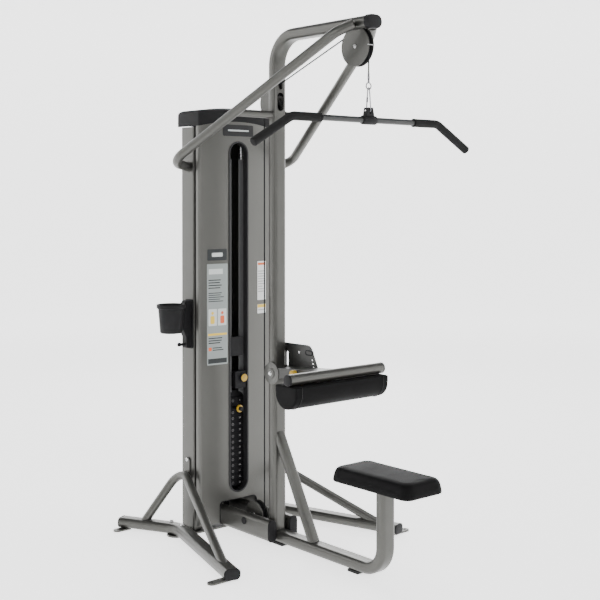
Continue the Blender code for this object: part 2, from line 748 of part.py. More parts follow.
def build_selector_pin(materials):
    y = PLATE_Y[0]
    profile = [(0.085, 0), (0.085, 0.0036), (0.082, 0.0045), (-0.010, 0.0045), (-0.012, 0.0100)]
    profile += [(-0.046, 0.0110), (-0.049, 0.0160), (-0.052, 0.0175), (-0.056, 0.0165), (-0.058, 0.0105)]
    profile += [(-0.068, 0.0105), (-0.070, 0.0090), (-0.070, 0)]
    mesh = turned_mesh(profile, (0, y, pin_z()), "y", 16)
    add_object("selector_pin", mesh, materials["yellow"], (0, y, pin_z()))


def build_increment_dial(materials):
    centre = (0.027, 0.309, 0.699)
    profile = [(-GAP, 0), (-GAP, 0.0150), (-0.004, 0.0200), (-0.008, 0.0210), (-0.0105, 0.0200)]
    profile += [(-0.0105, 0.0185), (-0.0095, 0.0175), (-0.0095, 0)]
    mesh = turned_mesh(profile, centre, "y", 20)
    add_object("increment_dial", mesh, materials["yellow"], centre)


# ---------------------------------------------------------------- pulleys and cable
def pulley_mesh(place):
    """A grooved wheel about X."""
    y, z, cable_radius, rim = place
    root = cable_radius - CABLE_R - 0.0010
    half = PULLEY_WIDTH / 2
    profile = [(-half, 0.0085), (-half, 0.013), (-half + 0.004, 0.015), (-half + 0.004, root - 0.006)]
    profile += [(-half, root), (-half, rim), (-half + 0.003, rim), (-0.0035, root), (0.0035, root)]
    profile += [(half - 0.003, rim), (half, rim), (half, root), (half - 0.004, root - 0.006)]
    profile += [(half - 0.004, 0.015), (half, 0.013), (half, 0.0085)]
    return turned_mesh(profile, (0, y, z), "x", 28, ring=True)


def build_pulleys(materials):
    places = {
        "boom_pulley": BOOM_PULLEY,
        "column_pulley": COLUMN_PULLEY,
        "base_front_pulley": BASE_PULLEY,
        "base_rear_pulley": REAR_PULLEY,
        "tower_top_pulley": TOP_PULLEY,
    }
    for name, place in places.items():
        add_object(name, pulley_mesh(place), materials["black_plastic"], (0, place[0], place[1]))


def build_pulley_brackets(materials):
    """Two round cheeks joined by the axle, at the boom's end, at the column and at the base."""
    cheeks = (("boom", BOOM_PULLEY[:2], 0.082), ("column", COLUMN_PULLEY[:2], 0.068))
    for name, (y, z), radius in cheeks:
        axle = rod_mesh((-0.0160, y, z), (0.0160, y, z), AXLE_R)
        bracket = add_object(f"{name}_pulley_bracket", axle, materials["frame_paint"])
        for side in (-1, 1):
            inner = side * 0.0113
            outer = side * 0.0150
            disc = [(a + y, b + z) for a, b in circle(radius, 32)]
            weld(bracket, prism_mesh(disc, "x", min(inner, outer), max(inner, outer)))
        if name == "boom":
            weld(bracket, rod_mesh((-0.0140, y - 0.0800, z), (0.0140, y - 0.0800, z), 0.0017, 8))
            cut(bracket, swept_mesh(column_path(), oval(GAP), (1, 0, 0)))
        else:
            cut(bracket, box_mesh((-0.05, -0.05, 1.80), (0.05, OVAL_DEPTH + GAP, 2.10)))


def tangent_line(first, second):
    """The outer tangent over the top of two circles given as (y, z, radius)."""
    span = Vector((second[0] - first[0], second[1] - first[1]))
    lean = math.atan2(span.y, span.x) + math.asin((first[2] - second[2]) / span.length)
    normal = Vector((-math.sin(lean), math.cos(lean)))
    return [Vector(c[:2]) + normal * c[2] for c in (first, second)], math.degrees(lean)


def cable_points():
    """The fixed run of the cable, in (y, z), from the boom pulley's front to the top pulley."""
    _, lean = tangent_line(BOOM_PULLEY, COLUMN_PULLEY)
    route = []
    route += arc_points(BOOM_PULLEY[:2], BOOM_PULLEY[2], 180, 90 + lean, 8)
    route += arc_points(COLUMN_PULLEY[:2], COLUMN_PULLEY[2], 90 + lean, 0, 8)
    route += arc_points(BASE_PULLEY[:2], BASE_PULLEY[2], 180, 270, 8)
    route += arc_points(REAR_PULLEY[:2], REAR_PULLEY[2], 270, 360, 8)
    route += arc_points(TOP_PULLEY[:2], TOP_PULLEY[2], 0, 180, 10)
    return [Vector((0, y, z)) for y, z in route]


def build_cables(materials):
    profile = circle(CABLE_R, 8)
    run = cable_points()
    add_object("cable_run", swept_mesh(run, profile, (1, 0, 0)), materials["cable"])
    drop = [Vector((0, BAR_Y, run[0].z - 2 * GAP)), Vector((0, BAR_Y, 2.050 + GAP))]
    add_object("cable_drop", swept_mesh(drop, profile, (1, 0, 0)), materials["cable"])
    lift = [Vector((0, ROD_Y, TOP_PULLEY[1] - 3 * GAP)), Vector((0, ROD_Y, 0.925 + GAP))]
    add_object("cable_lift", swept_mesh(lift, profile, (1, 0, 0)), materials["cable"])


# ---------------------------------------------------------------- hook, link and lat bar
def build_hook(materials):
    """The crimped ferrule at the cable's end, and the hook's eye that swivels under it."""
    profile = [(2.050, 0), (2.050, 0.0040), (2.046, 0.0048), (2.020, 0.0042), (2.0165, 0.0034), (2.0165, 0)]
    ferrule = turned_mesh(profile, (0, BAR_Y, 0), "z", 10)
    add_object("cable_ferrule", ferrule, materials["steel"], (0, BAR_Y, 2.050))
    ring = [Vector((x, BAR_Y, z + 1.9955)) for x, z in circle(0.0135, 16)]
    eye = swept_mesh(ring, circle(0.0024, 6), (0, 1, 0), closed=True)
    hook = add_object("cable_snap_hook", eye, materials["steel"], (0, BAR_Y, 2.0165))
    neck = [(2.0165 - GAP, 0), (2.0165 - GAP, 0.0040), (2.0120, 0.0040), (2.0065, 0.0026), (2.0065, 0)]
    weld(hook, turned_mesh(neck, (0, BAR_Y, 0), "z", 10))


def build_link(materials):
    """The long pear-shaped link between the snap hook and the bar's clevis, in a plane across
    the eye's plane."""
    top = arc_points((0, 1.9830), 0.0050, 20, 160, 5)
    low = arc_points((0, 1.9010), 0.0125, 180, 360, 8)
    path = [Vector((0, BAR_Y + u, z)) for u, z in top + low]
    mesh = swept_mesh(path, circle(0.0023, 6), (1, 0, 0), closed=True)
    add_object("bar_link", mesh, materials["steel"], (0, BAR_Y, 1.900))


def bar_path():
    ends = [(-BAR_END[0], BAR_Y, BAR_END[1]), (-BAR_BEND_X, BAR_Y, BAR_Z)]
    ends += [(BAR_BEND_X, BAR_Y, BAR_Z), (BAR_END[0], BAR_Y, BAR_END[1])]
    return fillet(ends, [0.060, 0.060], 5)


def build_lat_bar(materials):
    origin = (0, BAR_Y, BAR_Z)
    path = bar_path()
    bar = swept_mesh(path, circle(BAR_R, 12), (0, 1, 0), inner=circle(BAR_R - WALL, 12))
    add_object("lat_bar", bar, materials["bar_paint"], origin)
    for name, side in (("left", -1), ("right", 1)):
        half = [p for p in path if p.x * side > 0]
        half = half if side > 0 else half[::-1]
        beyond = (half[-1] - half[-2]).normalized()
        grip = [Vector((side * GRIP_INNER_X, BAR_Y, BAR_Z))] + half
        grip += [half[-1] + beyond * 0.0008, half[-1] + beyond * 0.0060]
        outline = circle(GRIP_R, 12)
        mesh = swept_mesh(grip, outline, (0, 1, 0), inner=circle(BAR_R + 0.0005, 12), blind=1)
        add_object(f"bar_grip_{name}", mesh, materials["rubber"], origin)


def build_bar_clevis(materials):
    """The moulded sleeve on the middle of the bar, with the fork that the link hangs in."""
    origin = (0, BAR_Y, BAR_Z)
    inner = BAR_R + 0.0005
    ring = [(-0.038, inner), (-0.038, 0.0165), (-0.034, 0.0185), (0.034, 0.0185), (0.038, 0.0165), (0.038, inner)]
    sleeve = turned_mesh(ring, (0, BAR_Y, BAR_Z), "x", 16, ring=True)
    clevis = add_object("bar_clevis", sleeve, materials["black_plastic"], origin)
    ear = [(-0.0215, BAR_Z + 0.0150), (0.0215, BAR_Z + 0.0150), (0.0150, 1.9080), (-0.0150, 1.9080)]
    weld(clevis, prism_mesh(ear, "y", BAR_Y - 0.0120, BAR_Y + 0.0120))
    cut(clevis, box_mesh((-0.0045, BAR_Y - 0.0160, 1.8830), (0.0045, BAR_Y + 0.0160, 1.92)))
    weld(clevis, rod_mesh((-0.012, BAR_Y, 1.8960), (0.012, BAR_Y, 1.8960), 0.0035, 8))


# ---------------------------------------------------------------- thigh pad
def build_thigh_bracket(materials):
    """The fixed quadrant plate on the column's right side, with its stop and pin holes."""
    outline = [(0.0400, 0.8910)] + arc_points((-0.1260, 0.8560), 0.0375, 95, 155, 6)
    outline += [(-0.2000, 0.7920), (-0.1880, 0.7250), (-0.0700, 0.7080), (0.0400, 0.7300)]
    plate = prism_mesh(outline, "x", 0.0460, 0.0500)
    plate = add_object("thigh_quadrant_plate", plate, materials["bracket_paint"])
    weld(plate, box_mesh((OVAL_WIDTH / 2 + GAP, 0.012, 0.866), (0.0470, 0.038, 0.888)))
    slit = [(u + 0.0080, v + 0.8215) for u, v in rounded_rectangle(0.0150, 0.0660, 0.0074, 3)]
    cut(plate, prism_mesh(slit, "x", 0.04, 0.06))
    radius = math.hypot(-0.1590 - HINGE_Y, 0.8300 - HINGE_Z)
    first = math.degrees(math.atan2(0.8300 - HINGE_Z, -0.1590 - HINGE_Y))
    for i in range(4):
        angle = math.radians(first + 5.2 * i)
        y = HINGE_Y + radius * math.cos(angle)
        z = HINGE_Z + radius * math.sin(angle)
        cut(plate, rod_mesh((0.04, y, z), (0.06, y, z), 0.0047, 12))
    cut(plate, rod_mesh((0.04, HINGE_Y, HINGE_Z), (0.06, HINGE_Y, HINGE_Z), HINGE_BOLT_R + GAP, 14))


def build_thigh_arm(materials):
    """The forked arm that hinges on the column and carries the cross tube."""
    origin = (0, HINGE_Y, HINGE_Z)
    side_view = [(-0.030, 0.742), (-0.030, 0.790), (THIGH_Y + 0.010, 0.814), (THIGH_Y + 0.010, 0.792)]
    arm = prism_mesh(side_view, "x", -0.0430, 0.0430)
    arm = add_object("thigh_arm", arm, materials["bracket_paint"], origin)
    for side in (-1, 1):
        inner = side * (OVAL_WIDTH / 2 + 0.0006)
        outer = side * 0.0430
        ear = arc_points((HINGE_Y, HINGE_Z), 0.030, -90, 90, 8) + [(-0.040, 0.7880), (-0.040, 0.7400)]
        weld(arm, prism_mesh(ear, "x", min(inner, outer), max(inner, outer)))
    cut(arm, rod_mesh((-0.08, HINGE_Y, HINGE_Z), (0.08, HINGE_Y, HINGE_Z), HINGE_BOLT_R + 0.0006, 14))
    cut(arm, rod_mesh((-0.08, LOCK_Y, 0.783), (0.060, LOCK_Y, 0.783), 0.0052, 12))
    cut(arm, rod_mesh((-0.30, THIGH_Y, THIGH_Z), (0.30, THIGH_Y, THIGH_Z), THIGH_TUBE_R + GAP, 20))
    pin = turned_mesh(
        [(-0.0485, 0), (-0.0485, 0.0110), (-0.0440, 0.0110), (-0.0440, HINGE_BOLT_R), (0.0545, HINGE_BOLT_R), (0.0545, 0)],
        (0, HINGE_Y, HINGE_Z), "x", 14,
    )
    add_object("thigh_hinge_bolt", pin, materials["steel"], origin)


def build_thigh_tube(materials):
    origin = (0, HINGE_Y, HINGE_Z)
    path = [Vector((-THIGH_HALF, THIGH_Y, THIGH_Z)), Vector((THIGH_HALF, THIGH_Y, THIGH_Z))]
    mesh = swept_mesh(path, circle(THIGH_TUBE_R, 20), (0, 1, 0), inner=circle(THIGH_TUBE_R - WALL, 20))
    add_object("thigh_cross_tube", mesh, materials["frame_paint"], origin)
    for name, side in (("left", -1), ("right", 1)):
        start = side * (THIGH_HALF + GAP)
        end = side * (THIGH_HALF + 0.009)
        profile = [(start, 0), (start, 0.0240), (start + side * 0.005, 0.0240), (end, 0.0200), (end, 0)]
        cap = turned_mesh(profile, (0, THIGH_Y, THIGH_Z), "x", 20)
        add_object(f"thigh_tube_cap_{name}", cap, materials["black_plastic"], origin)


def thigh_pad_outline():
    """Side view (y, z) of the half-round pad."""
    top = THIGH_Z - THIGH_TUBE_R - 0.0010
    round_part = arc_points((-0.3480, top - 0.030), 0.068, 180, 360, 12)
    return [(-0.2800, top)] + [(-0.4160, top)] + round_part


def build_thigh_pad(materials):
    mesh = prism_mesh(thigh_pad_outline(), "x", -0.262, 0.262)
    add_object("thigh_pad", mesh, materials["pad_vinyl"], (0, HINGE_Y, HINGE_Z))


def build_thigh_lock(materials):
    """The spring pull-pin that locks the thigh arm to the quadrant plate."""
    centre = (0, LOCK_Y, 0.783)
    profile = [(0.0440, 0), (0.0440, 0.0042), (-0.0475, 0.0042), (-0.0475, 0.0120), (-0.0560, 0.0150)]
    profile += [(-0.0720, 0.0120), (-0.0760, 0.0080), (-0.0760, 0)]
    mesh = turned_mesh(profile, centre, "x", 16)
    add_object("thigh_lock_knob", mesh, materials["yellow"], centre)


# ---------------------------------------------------------------- seat and cup holder
def build_seat(materials):
    low = (-SEAT_HALF_X, SEAT_Y[0], SEAT_Z[0])
    high = (SEAT_HALF_X, SEAT_Y[1], SEAT_Z[1])
    middle = (SEAT_Y[0] + SEAT_Y[1]) / 2
    mesh = bmesh.new()
    rings = []
    levels = [(0.006, low[2]), (0.0, low[2] + 0.014), (0.001, high[2] - 0.030), (0.006, high[2] - 0.012)]
    levels += [(0.013, high[2] - 0.004), (0.024, high[2])]
    for inset, z in levels:
        outline = rounded_rectangle(2 * (SEAT_HALF_X - inset), SEAT_Y[1] - SEAT_Y[0] - 2 * inset, 0.026, 4)
        rings.append([mesh.verts.new((u, v + middle, z)) for u, v in outline])
    for first, second in zip(rings, rings[1:]):
        join_rings(mesh, first, second)
    mesh.faces.new(rings[0])
    mesh.faces.new(rings[-1])
    add_object("seat_pad", mesh, materials["pad_vinyl"])


def build_cup_holder(materials):
    """The moulded bottle holder on the left upright, with the towel peg under it."""
    x = -0.3080
    y = 0.4100
    outer = [(0.925, 0), (0.925, 0.0480), (0.930, 0.0510), (1.040, 0.0590), (1.042, 0.0650), (1.052, 0.0660)]
    inner = [(1.056, 0.0640), (1.056, 0.0580), (0.9290, 0.0470), (0.9290, 0)]
    cup = turned_mesh(outer + inner, (x, y, 0), "z", 24)
    cup = add_object("cup_holder", cup, materials["black_plastic"])
    face = -(UPRIGHT_X + UPRIGHT_WIDTH / 2 + GAP)
    side_view = [(face, 0.852), (face, 1.068), (face - 0.030, 1.068), (-0.262, 1.040), (-0.259, 0.950)]
    side_view += [(face - 0.030, 0.900), (face - 0.028, 0.852)]
    bracket = prism_mesh(side_view, "y", y - 0.016, y + 0.016)
    weld(cup, bracket)
    weld(cup, rod_mesh((face - 0.02, y, 0.865), (-0.262, y, 0.868), 0.0065, 10))
    knob = turned_mesh([(-0.270, 0), (-0.268, 0.0085), (-0.259, 0.0085), (-0.257, 0)], (0, y, 0.868), "x", 12)
    weld(cup, knob)


# ---------------------------------------------------------------- the machine
def main():
    for obj in list(bpy.data.objects):
        bpy.data.objects.remove(obj)
    materials = make_materials()
    builders = (
        build_column, build_boom_cap, build_rail, build_rail_brace, build_rail_feet,
        build_beams, build_stabilisers, build_stabiliser_braces, build_stays,
        build_uprights, build_tower_base, build_front_shroud, build_slot_bezel,
        build_rear_shroud, build_top_cap, build_guide_rods, build_stack,
        build_selector_pin, build_increment_dial, build_pulleys, build_pulley_brackets,
        build_cables, build_hook, build_link, build_lat_bar, build_bar_clevis,
        build_thigh_bracket, build_thigh_arm, build_thigh_tube, build_thigh_pad,
        build_thigh_lock, build_seat, build_cup_holder,
    )
    for build in builders:
        build(materials)


main()
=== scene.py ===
"""The looks of a lat pulldown machine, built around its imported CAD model.  Metres, +Z up."""

import math
import random

import bmesh
import bpy
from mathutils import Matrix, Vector


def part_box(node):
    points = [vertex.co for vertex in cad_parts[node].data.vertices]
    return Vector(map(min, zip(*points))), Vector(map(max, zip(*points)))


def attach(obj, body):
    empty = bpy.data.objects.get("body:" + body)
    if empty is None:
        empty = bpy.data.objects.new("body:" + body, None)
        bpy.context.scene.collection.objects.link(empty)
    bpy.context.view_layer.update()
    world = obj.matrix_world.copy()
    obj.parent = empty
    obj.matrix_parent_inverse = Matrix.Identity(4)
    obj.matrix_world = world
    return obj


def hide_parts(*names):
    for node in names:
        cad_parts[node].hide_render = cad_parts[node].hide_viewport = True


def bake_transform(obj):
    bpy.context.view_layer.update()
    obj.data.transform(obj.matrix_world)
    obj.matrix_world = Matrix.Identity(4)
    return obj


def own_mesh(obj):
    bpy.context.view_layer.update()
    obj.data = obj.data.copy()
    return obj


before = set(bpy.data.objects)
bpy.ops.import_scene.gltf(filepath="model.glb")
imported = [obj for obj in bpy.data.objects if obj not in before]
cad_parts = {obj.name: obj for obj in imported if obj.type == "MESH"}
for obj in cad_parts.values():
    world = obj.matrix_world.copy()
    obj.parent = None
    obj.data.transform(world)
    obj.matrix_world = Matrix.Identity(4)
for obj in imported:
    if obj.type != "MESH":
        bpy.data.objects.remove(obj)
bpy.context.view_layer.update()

# ---------------------------------------------------------------- the model's own dimensions
OVAL_WIDTH = 0.075
OVAL_DEPTH = 0.05
OVAL_RADIUS = 0.02
WALL = 0.0025
TUBE_R = 0.0195
STAY_R = 0.021
COLUMN_Y = 0.025
BOOM_Z = 2.255
BOOM_END_Y = -0.574
RAIL_Z = 0.036
POST_Y = -0.66
CROSSBAR = (0.02, 1.909)
BEAM_X = 0.0606
BEAM_Z = 0.0655
BEAM_FRONT_Y = -0.012
BEAM_BACK_Y = 0.47
UPRIGHT_X = 0.18
UPRIGHT_Y = 0.428
SHROUD_HALF = 0.212
SHROUD_FRONT_Y = 0.308
SHROUD_SAG = 0.016
SHROUD_BOTTOM = 0.04
SHROUD_TOP = 1.868
SHROUD_ARCH = 0.025
SLOT_HALF = 0.054
SLOT_LOW = 0.168
SLOT_HIGH = 1.8
STAB_Z = 0.0308
CABLE_R = 0.003
BOOM_PULLEY = (-0.496, 2.162, 0.0655, 0.0775)
COLUMN_PULLEY = (0.06, 1.966, 0.055, 0.0615)
BASE_PULLEY = (0.17, 0.09, 0.055, 0.0615)
REAR_PULLEY = (0.445, 0.08, 0.045, 0.0515)
TOP_PULLEY = (0.45, 1.79, 0.04, 0.0465)
ROD_Y = 0.41
STACK_BOTTOM = 0.184
PLATE_PITCH = 0.0277
PLATE_COUNT = 15
LIFTED_PLATES = 2
PLATE_FRONT_Y = 0.353
BAR_Y = -0.5615
BAR_Z = 1.857
BAR_R = 0.0125
GRIP_R = 0.0185
HINGE = (0.01, 0.762)
THIGH = (-0.366, 0.8)
SIDES = (("left", -1), ("right", 1))


# ---------------------------------------------------------------- outlines and paths
def arc_points(centre, radius, start, end, steps):
    found = []
    for i in range(steps + 1):
        angle = math.radians(start + (end - start) * i / steps)
        found.append((centre[0] + radius * math.cos(angle), centre[1] + radius * math.sin(angle)))
    return found


def rounded_rectangle(width, height, radius, steps=8):
    x = width / 2 - radius
    y = height / 2 - radius
    outline = []
    for centre, start in (((x, y), 0), ((-x, y), 90), ((-x, -y), 180), ((x, -y), 270)):
        outline += arc_points(centre, radius, start, start + 90, steps)
    return outline


def circle(radius, steps=40):
    return arc_points((0, 0), radius, 0, 360 - 360 / steps, steps - 1)


def oval(grow=0.0):
    return rounded_rectangle(OVAL_WIDTH + 2 * grow, OVAL_DEPTH + 2 * grow, OVAL_RADIUS + grow)


def fillet(points, radii, steps=24):
    points = [Vector(p) for p in points]
    path = [points[0]]
    for i in range(1, len(points) - 1):
        before = (points[i - 1] - points[i]).normalized()
        after = (points[i + 1] - points[i]).normalized()
        half = before.angle(after) / 2
        reach = radii[i - 1] / math.tan(half)
        centre = points[i] + (before + after).normalized() * radii[i - 1] / math.sin(half)
        first = points[i] + before * reach - centre
        last = points[i] + after * reach - centre
        turn = first.angle(last)
        for k in range(steps + 1):
            a = math.sin(turn * (1 - k / steps)) / math.sin(turn)
            b = math.sin(turn * k / steps) / math.sin(turn)
            path.append(centre + first * a + last * b)
    path.append(points[-1])
    return path


def stations(path, reference, closed=False):
    count = len(path)
    side = Vector(reference)
    found = []
    for i, point in enumerate(path):
        ahead = path[(i + 1) % count] if closed or i + 1 < count else point
        behind = path[i - 1] if closed or i > 0 else point
        along = ((point - behind).normalized() + (ahead - point).normalized()).normalized()
        side = (side - along * side.dot(along)).normalized()
        found.append((point, side.copy(), along.cross(side)))
    return found


# ---------------------------------------------------------------- mesh builders
def join_rings(mesh, first, second):
    count = len(first)
    for i in range(count):
        j = (i + 1) % count
        mesh.faces.new((first[i], first[j], second[j], second[i]))


def close_rings(mesh, rings):
    """Joins each ring to the next and closes both ends."""
    for first, second in zip(rings, rings[1:]):
        join_rings(mesh, first, second)
    mesh.faces.new(rings[0])
    mesh.faces.new(rings[-1])


def swept(path, outline, reference, inner=None, closed=False):
    mesh = bmesh.new()
    frames = stations(path, reference, closed)

    def rings(shape):
        return [[mesh.verts.new(p + s * u + t * v) for u, v in shape] for p, s, t in frames]

    outer = rings(outline)
    for first, second in zip(outer, outer[1:]):
        join_rings(mesh, first, second)
    if closed:
        join_rings(mesh, outer[-1], outer[0])
    elif inner is None:
        mesh.faces.new(outer[0])
        mesh.faces.new(outer[-1])
    else:
        bores = rings(inner)
        for first, second in zip(bores, bores[1:]):
            join_rings(mesh, second, first)
        join_rings(mesh, bores[0], outer[0])
        join_rings(mesh, outer[-1], bores[-1])
    return mesh


def prism(outline, axis, low, high):
    mesh = bmesh.new()
    rings = []
    for level in (low, high):
        ring = []
        for a, b in outline:
            place = {"x": (level, a, b), "y": (a, level, b), "z": (a, b, level)}[axis]
            ring.append(mesh.verts.new(place))
        rings.append(ring)
    join_rings(mesh, rings[0], rings[1])
    mesh.faces.new(rings[0])
    mesh.faces.new(rings[1])
    return mesh


def turned(profile, centre, axis, steps=64, ring=False):
    """Turns a profile of (distance along the axis, radius) points about an axis: x, y, z or a
    direction.  A ring profile is closed and stays off the axis."""
    mesh = bmesh.new()
    centre = Vector(centre)
    main = {"x": (1, 0, 0), "y": (0, 1, 0), "z": (0, 0, 1)}
    along = Vector(main[axis] if isinstance(axis, str) else axis).normalized()
    side = along.orthogonal().normalized()
    up = along.cross(side)
    loops = []
    for t, r in profile:
        if r < 1e-6:
            loops.append([mesh.verts.new(centre + along * t)])
            continue
        loop = []
        for i in range(steps):
            angle = 2 * math.pi * i / steps
            spoke = side * math.cos(angle) + up * math.sin(angle)
            loop.append(mesh.verts.new(centre + along * t + spoke * r))
        loops.append(loop)
    pairs = list(zip(loops, loops[1:]))
    if ring:
        pairs.append((loops[-1], loops[0]))
    for first, second in pairs:
        for i in range(steps):
            j = (i + 1) % steps
            if len(first) == 1:
                mesh.faces.new((first[0], second[j], second[i]))
            elif len(second) == 1:
                mesh.faces.new((first[i], first[j], second[0]))
            else:
                mesh.faces.new((first[i], first[j], second[j], second[i]))
    return mesh


def box(low, high):
    mesh = bmesh.new()
    bmesh.ops.create_cube(mesh, size=1.0)
    for vert in mesh.verts:
        vert.co = Vector((low[k] + (vert.co[k] + 0.5) * (high[k] - low[k])) for k in range(3))
    return mesh


def rod(start, end, radius, steps=32):
    path = [Vector(start), Vector(end)]
    along = (path[1] - path[0]).normalized()
    reference = (1, 0, 0) if abs(along.x) < 0.9 else (0, 1, 0)
    return swept(path, circle(radius, steps), reference)


# ---------------------------------------------------------------- objects
def mesh_object(name, mesh):
    bmesh.ops.recalc_face_normals(mesh, faces=mesh.faces[:])
    data = bpy.data.meshes.new(name)
    mesh.to_mesh(data)
    mesh.free()
    obj = bpy.data.objects.new(name, data)
    bpy.context.scene.collection.objects.link(obj)
    return obj


def apply_modifiers(obj):
    graph = bpy.context.evaluated_depsgraph_get()
    data = bpy.data.meshes.new_from_object(obj.evaluated_get(graph))
    obj.modifiers.clear()
    obj.data = data


def combine(obj, tools, operation):
    for mesh in tools:
        tool = mesh_object("tool", mesh)
        modifier = obj.modifiers.new("combine", "BOOLEAN")
        modifier.operation = operation
        modifier.solver = "EXACT"
        modifier.object = tool
        apply_modifiers(obj)
        bpy.data.objects.remove(tool)


def bevelled(obj, width, segments=3, angle=32):
    modifier = obj.modifiers.new("edges", "BEVEL")
    modifier.width = width
    modifier.segments = segments
    modifier.limit_method = "ANGLE"
    modifier.angle_limit = math.radians(angle)
    modifier.harden_normals = True
    modifier.use_clamp_overlap = True
    return obj


def finish_piece(obj, material, body, nodes, bevel):
    obj.data.shade_smooth()
    if bevel:
        bevelled(obj, bevel)
    else:
        obj.data.set_sharp_from_angle(angle=math.radians(38))
    if material is not None:
        obj.data.materials.clear()
        obj.data.materials.append(material)
    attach(obj, body)
    if nodes:
        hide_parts(*nodes)
    return obj


def piece(name, mesh, material, body="frame", nodes=(), bevel=0.0, cuts=(), welds=()):
    """Makes one visible piece.  It rides on a body and can stand for CAD nodes."""
    obj = mesh_object(name, mesh)
    combine(obj, welds, "UNION")
    combine(obj, cuts, "DIFFERENCE")
    return finish_piece(obj, material, body, nodes, bevel)


def dress(node, material, bevel=0.0012):
    """Gives a carried CAD node its material and rounds its edges."""
    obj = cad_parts[node]
    obj.data.materials.clear()
    obj.data.materials.append(material)
    obj.data.shade_smooth()
    if bevel:
        bevelled(obj, bevel)
    return obj


# ---------------------------------------------------------------- materials
def new_material(name, colour, roughness, metallic=0.0, coat=0.0, specular=0.5):
    material = bpy.data.materials.new(name)
    material.use_nodes = True
    shader = material.node_tree.nodes["Principled BSDF"]
    shader.inputs["Base Color"].default_value = (*colour, 1.0)
    shader.inputs["Roughness"].default_value = roughness
    shader.inputs["Metallic"].default_value = metallic
    shader.inputs["Coat Weight"].default_value = coat
    shader.inputs["Coat Roughness"].default_value = 0.15
    shader.inputs["Specular IOR Level"].default_value = specular
    return material


def add_node(material, kind, **settings):
    node = material.node_tree.nodes.new(kind)
    for key, value in settings.items():
        if key in node.inputs:
            node.inputs[key].default_value = value
        else:
            setattr(node, key, value)
    return node


def link(material, a, out, b, into):
    material.node_tree.links.new(a.outputs[out], b.inputs[into])


def object_point(material, scale=(1, 1, 1)):
    place = add_node(material, "ShaderNodeTexCoord")
    mapping = add_node(material, "ShaderNodeMapping")
    mapping.inputs["Scale"].default_value = scale
    link(material, place, "Object", mapping, "Vector")
    return mapping


def noise(material, scale, detail=3.0, stretch=(1, 1, 1)):
    node = add_node(material, "ShaderNodeTexNoise", Scale=scale, Detail=detail)
    link(material, object_point(material, stretch), "Vector", node, "Vector")
    return node


def vary_value(material, source, output, into, low, high):
    """Drives a shader input from a texture, between two values."""
    span = add_node(material, "ShaderNodeMapRange")
    span.inputs["To Min"].default_value = low
    span.inputs["To Max"].default_value = high
    link(material, source, output, span, "Value")
    link(material, span, "Result", material.node_tree.nodes["Principled BSDF"], into)


def vary_colour(material, source, output, first, second, low=0.3, high=0.7):
    ramp = add_node(material, "ShaderNodeValToRGB")
    ramp.color_ramp.elements[0].position = low
    ramp.color_ramp.elements[0].color = (*first, 1)
    ramp.color_ramp.elements[1].position = high
    ramp.color_ramp.elements[1].color = (*second, 1)
    link(material, source, output, ramp, "Fac")
    link(material, ramp, "Color", material.node_tree.nodes["Principled BSDF"], "Base Color")


def bump(material, source, output, strength, distance):
    node = add_node(material, "ShaderNodeBump", Strength=strength, Distance=distance)
    link(material, source, output, node, "Height")
    link(material, node, "Normal", material.node_tree.nodes["Principled BSDF"], "Normal")


def shade(colour, share):
    return tuple(c * share for c in colour)


def metallic_paint(name, colour, roughness=0.36, metallic=0.7):
    """Powder coat with fine metal flake and a soft orange peel."""
    material = new_material(name, colour, roughness, metallic, coat=0.12)
    flake = noise(material, 1400, 2)
    vary_colour(material, flake, "Fac", shade(colour, 0.86), shade(colour, 1.14))
    vary_value(material, noise(material, 9, 4), "Fac", "Roughness", roughness - 0.05, roughness + 0.07)
    bump(material, noise(material, 420, 3), "Fac", 0.1, 0.0004)
    return material


def moulded(name, colour, roughness=0.52, grain=900, strength=0.25, specular=0.45):
    """Black moulding with a fine spark grain."""
    material = new_material(name, colour, roughness, specular=specular)
    vary_value(material, noise(material, 14, 4), "Fac", "Roughness", roughness - 0.07, roughness + 0.07)
    bump(material, noise(material, grain, 4), "Fac", strength, 0.0004)
    return material


def brushed(name, colour, roughness=0.24):
    material = new_material(name, colour, roughness, 1.0)
    grain = noise(material, 260, 4, (1, 1, 0.06))
    vary_value(material, grain, "Fac", "Roughness", roughness - 0.08, roughness + 0.12)
    bump(material, grain, "Fac", 0.05, 0.0003)
    return material


def vinyl(name, colour):
    """Grained upholstery vinyl: pebbles with creases between them."""
    material = new_material(name, colour, 0.55, specular=0.05)
    pebble = add_node(material, "ShaderNodeTexVoronoi", Scale=520.0, feature="SMOOTH_F1")
    link(material, object_point(material), "Vector", pebble, "Vector")
    blotch = noise(material, 60, 5)
    mix = add_node(material, "ShaderNodeMath", operation="MULTIPLY_ADD")
    mix.inputs[1].default_value = 0.7
    link(material, pebble, "Distance", mix, 0)
    link(material, blotch, "Fac", mix, 2)
    bump(material, mix, "Value", 0.35, 0.0006)
    vary_value(material, noise(material, 11, 3), "Fac", "Roughness", 0.48, 0.62)
    return material


def ribbed_rubber(name, colour):
    """Grip rubber with a fine cross-hatched mould texture."""
    material = new_material(name, colour, 0.72, specular=0.08)
    weave = add_node(material, "ShaderNodeTexVoronoi", Scale=700.0, feature="F1")
    link(material, object_point(material), "Vector", weave, "Vector")
    bump(material, weave, "Distance", 0.3, 0.0005)
    vary_value(material, noise(material, 25, 3), "Fac", "Roughness", 0.62, 0.8)
    return material


def cable_coat(name):
    """Glossy nylon over a stranded rope: a slow helical wave."""
    material = new_material(name, (0.012, 0.012, 0.013), 0.5, specular=0.08)
    wave = add_node(material, "ShaderNodeTexWave", Scale=95.0, Distortion=0.4)
    wave.bands_direction = "DIAGONAL"
    link(material, object_point(material), "Vector", wave, "Vector")
    bump(material, wave, "Fac", 0.25, 0.0004)
    return material


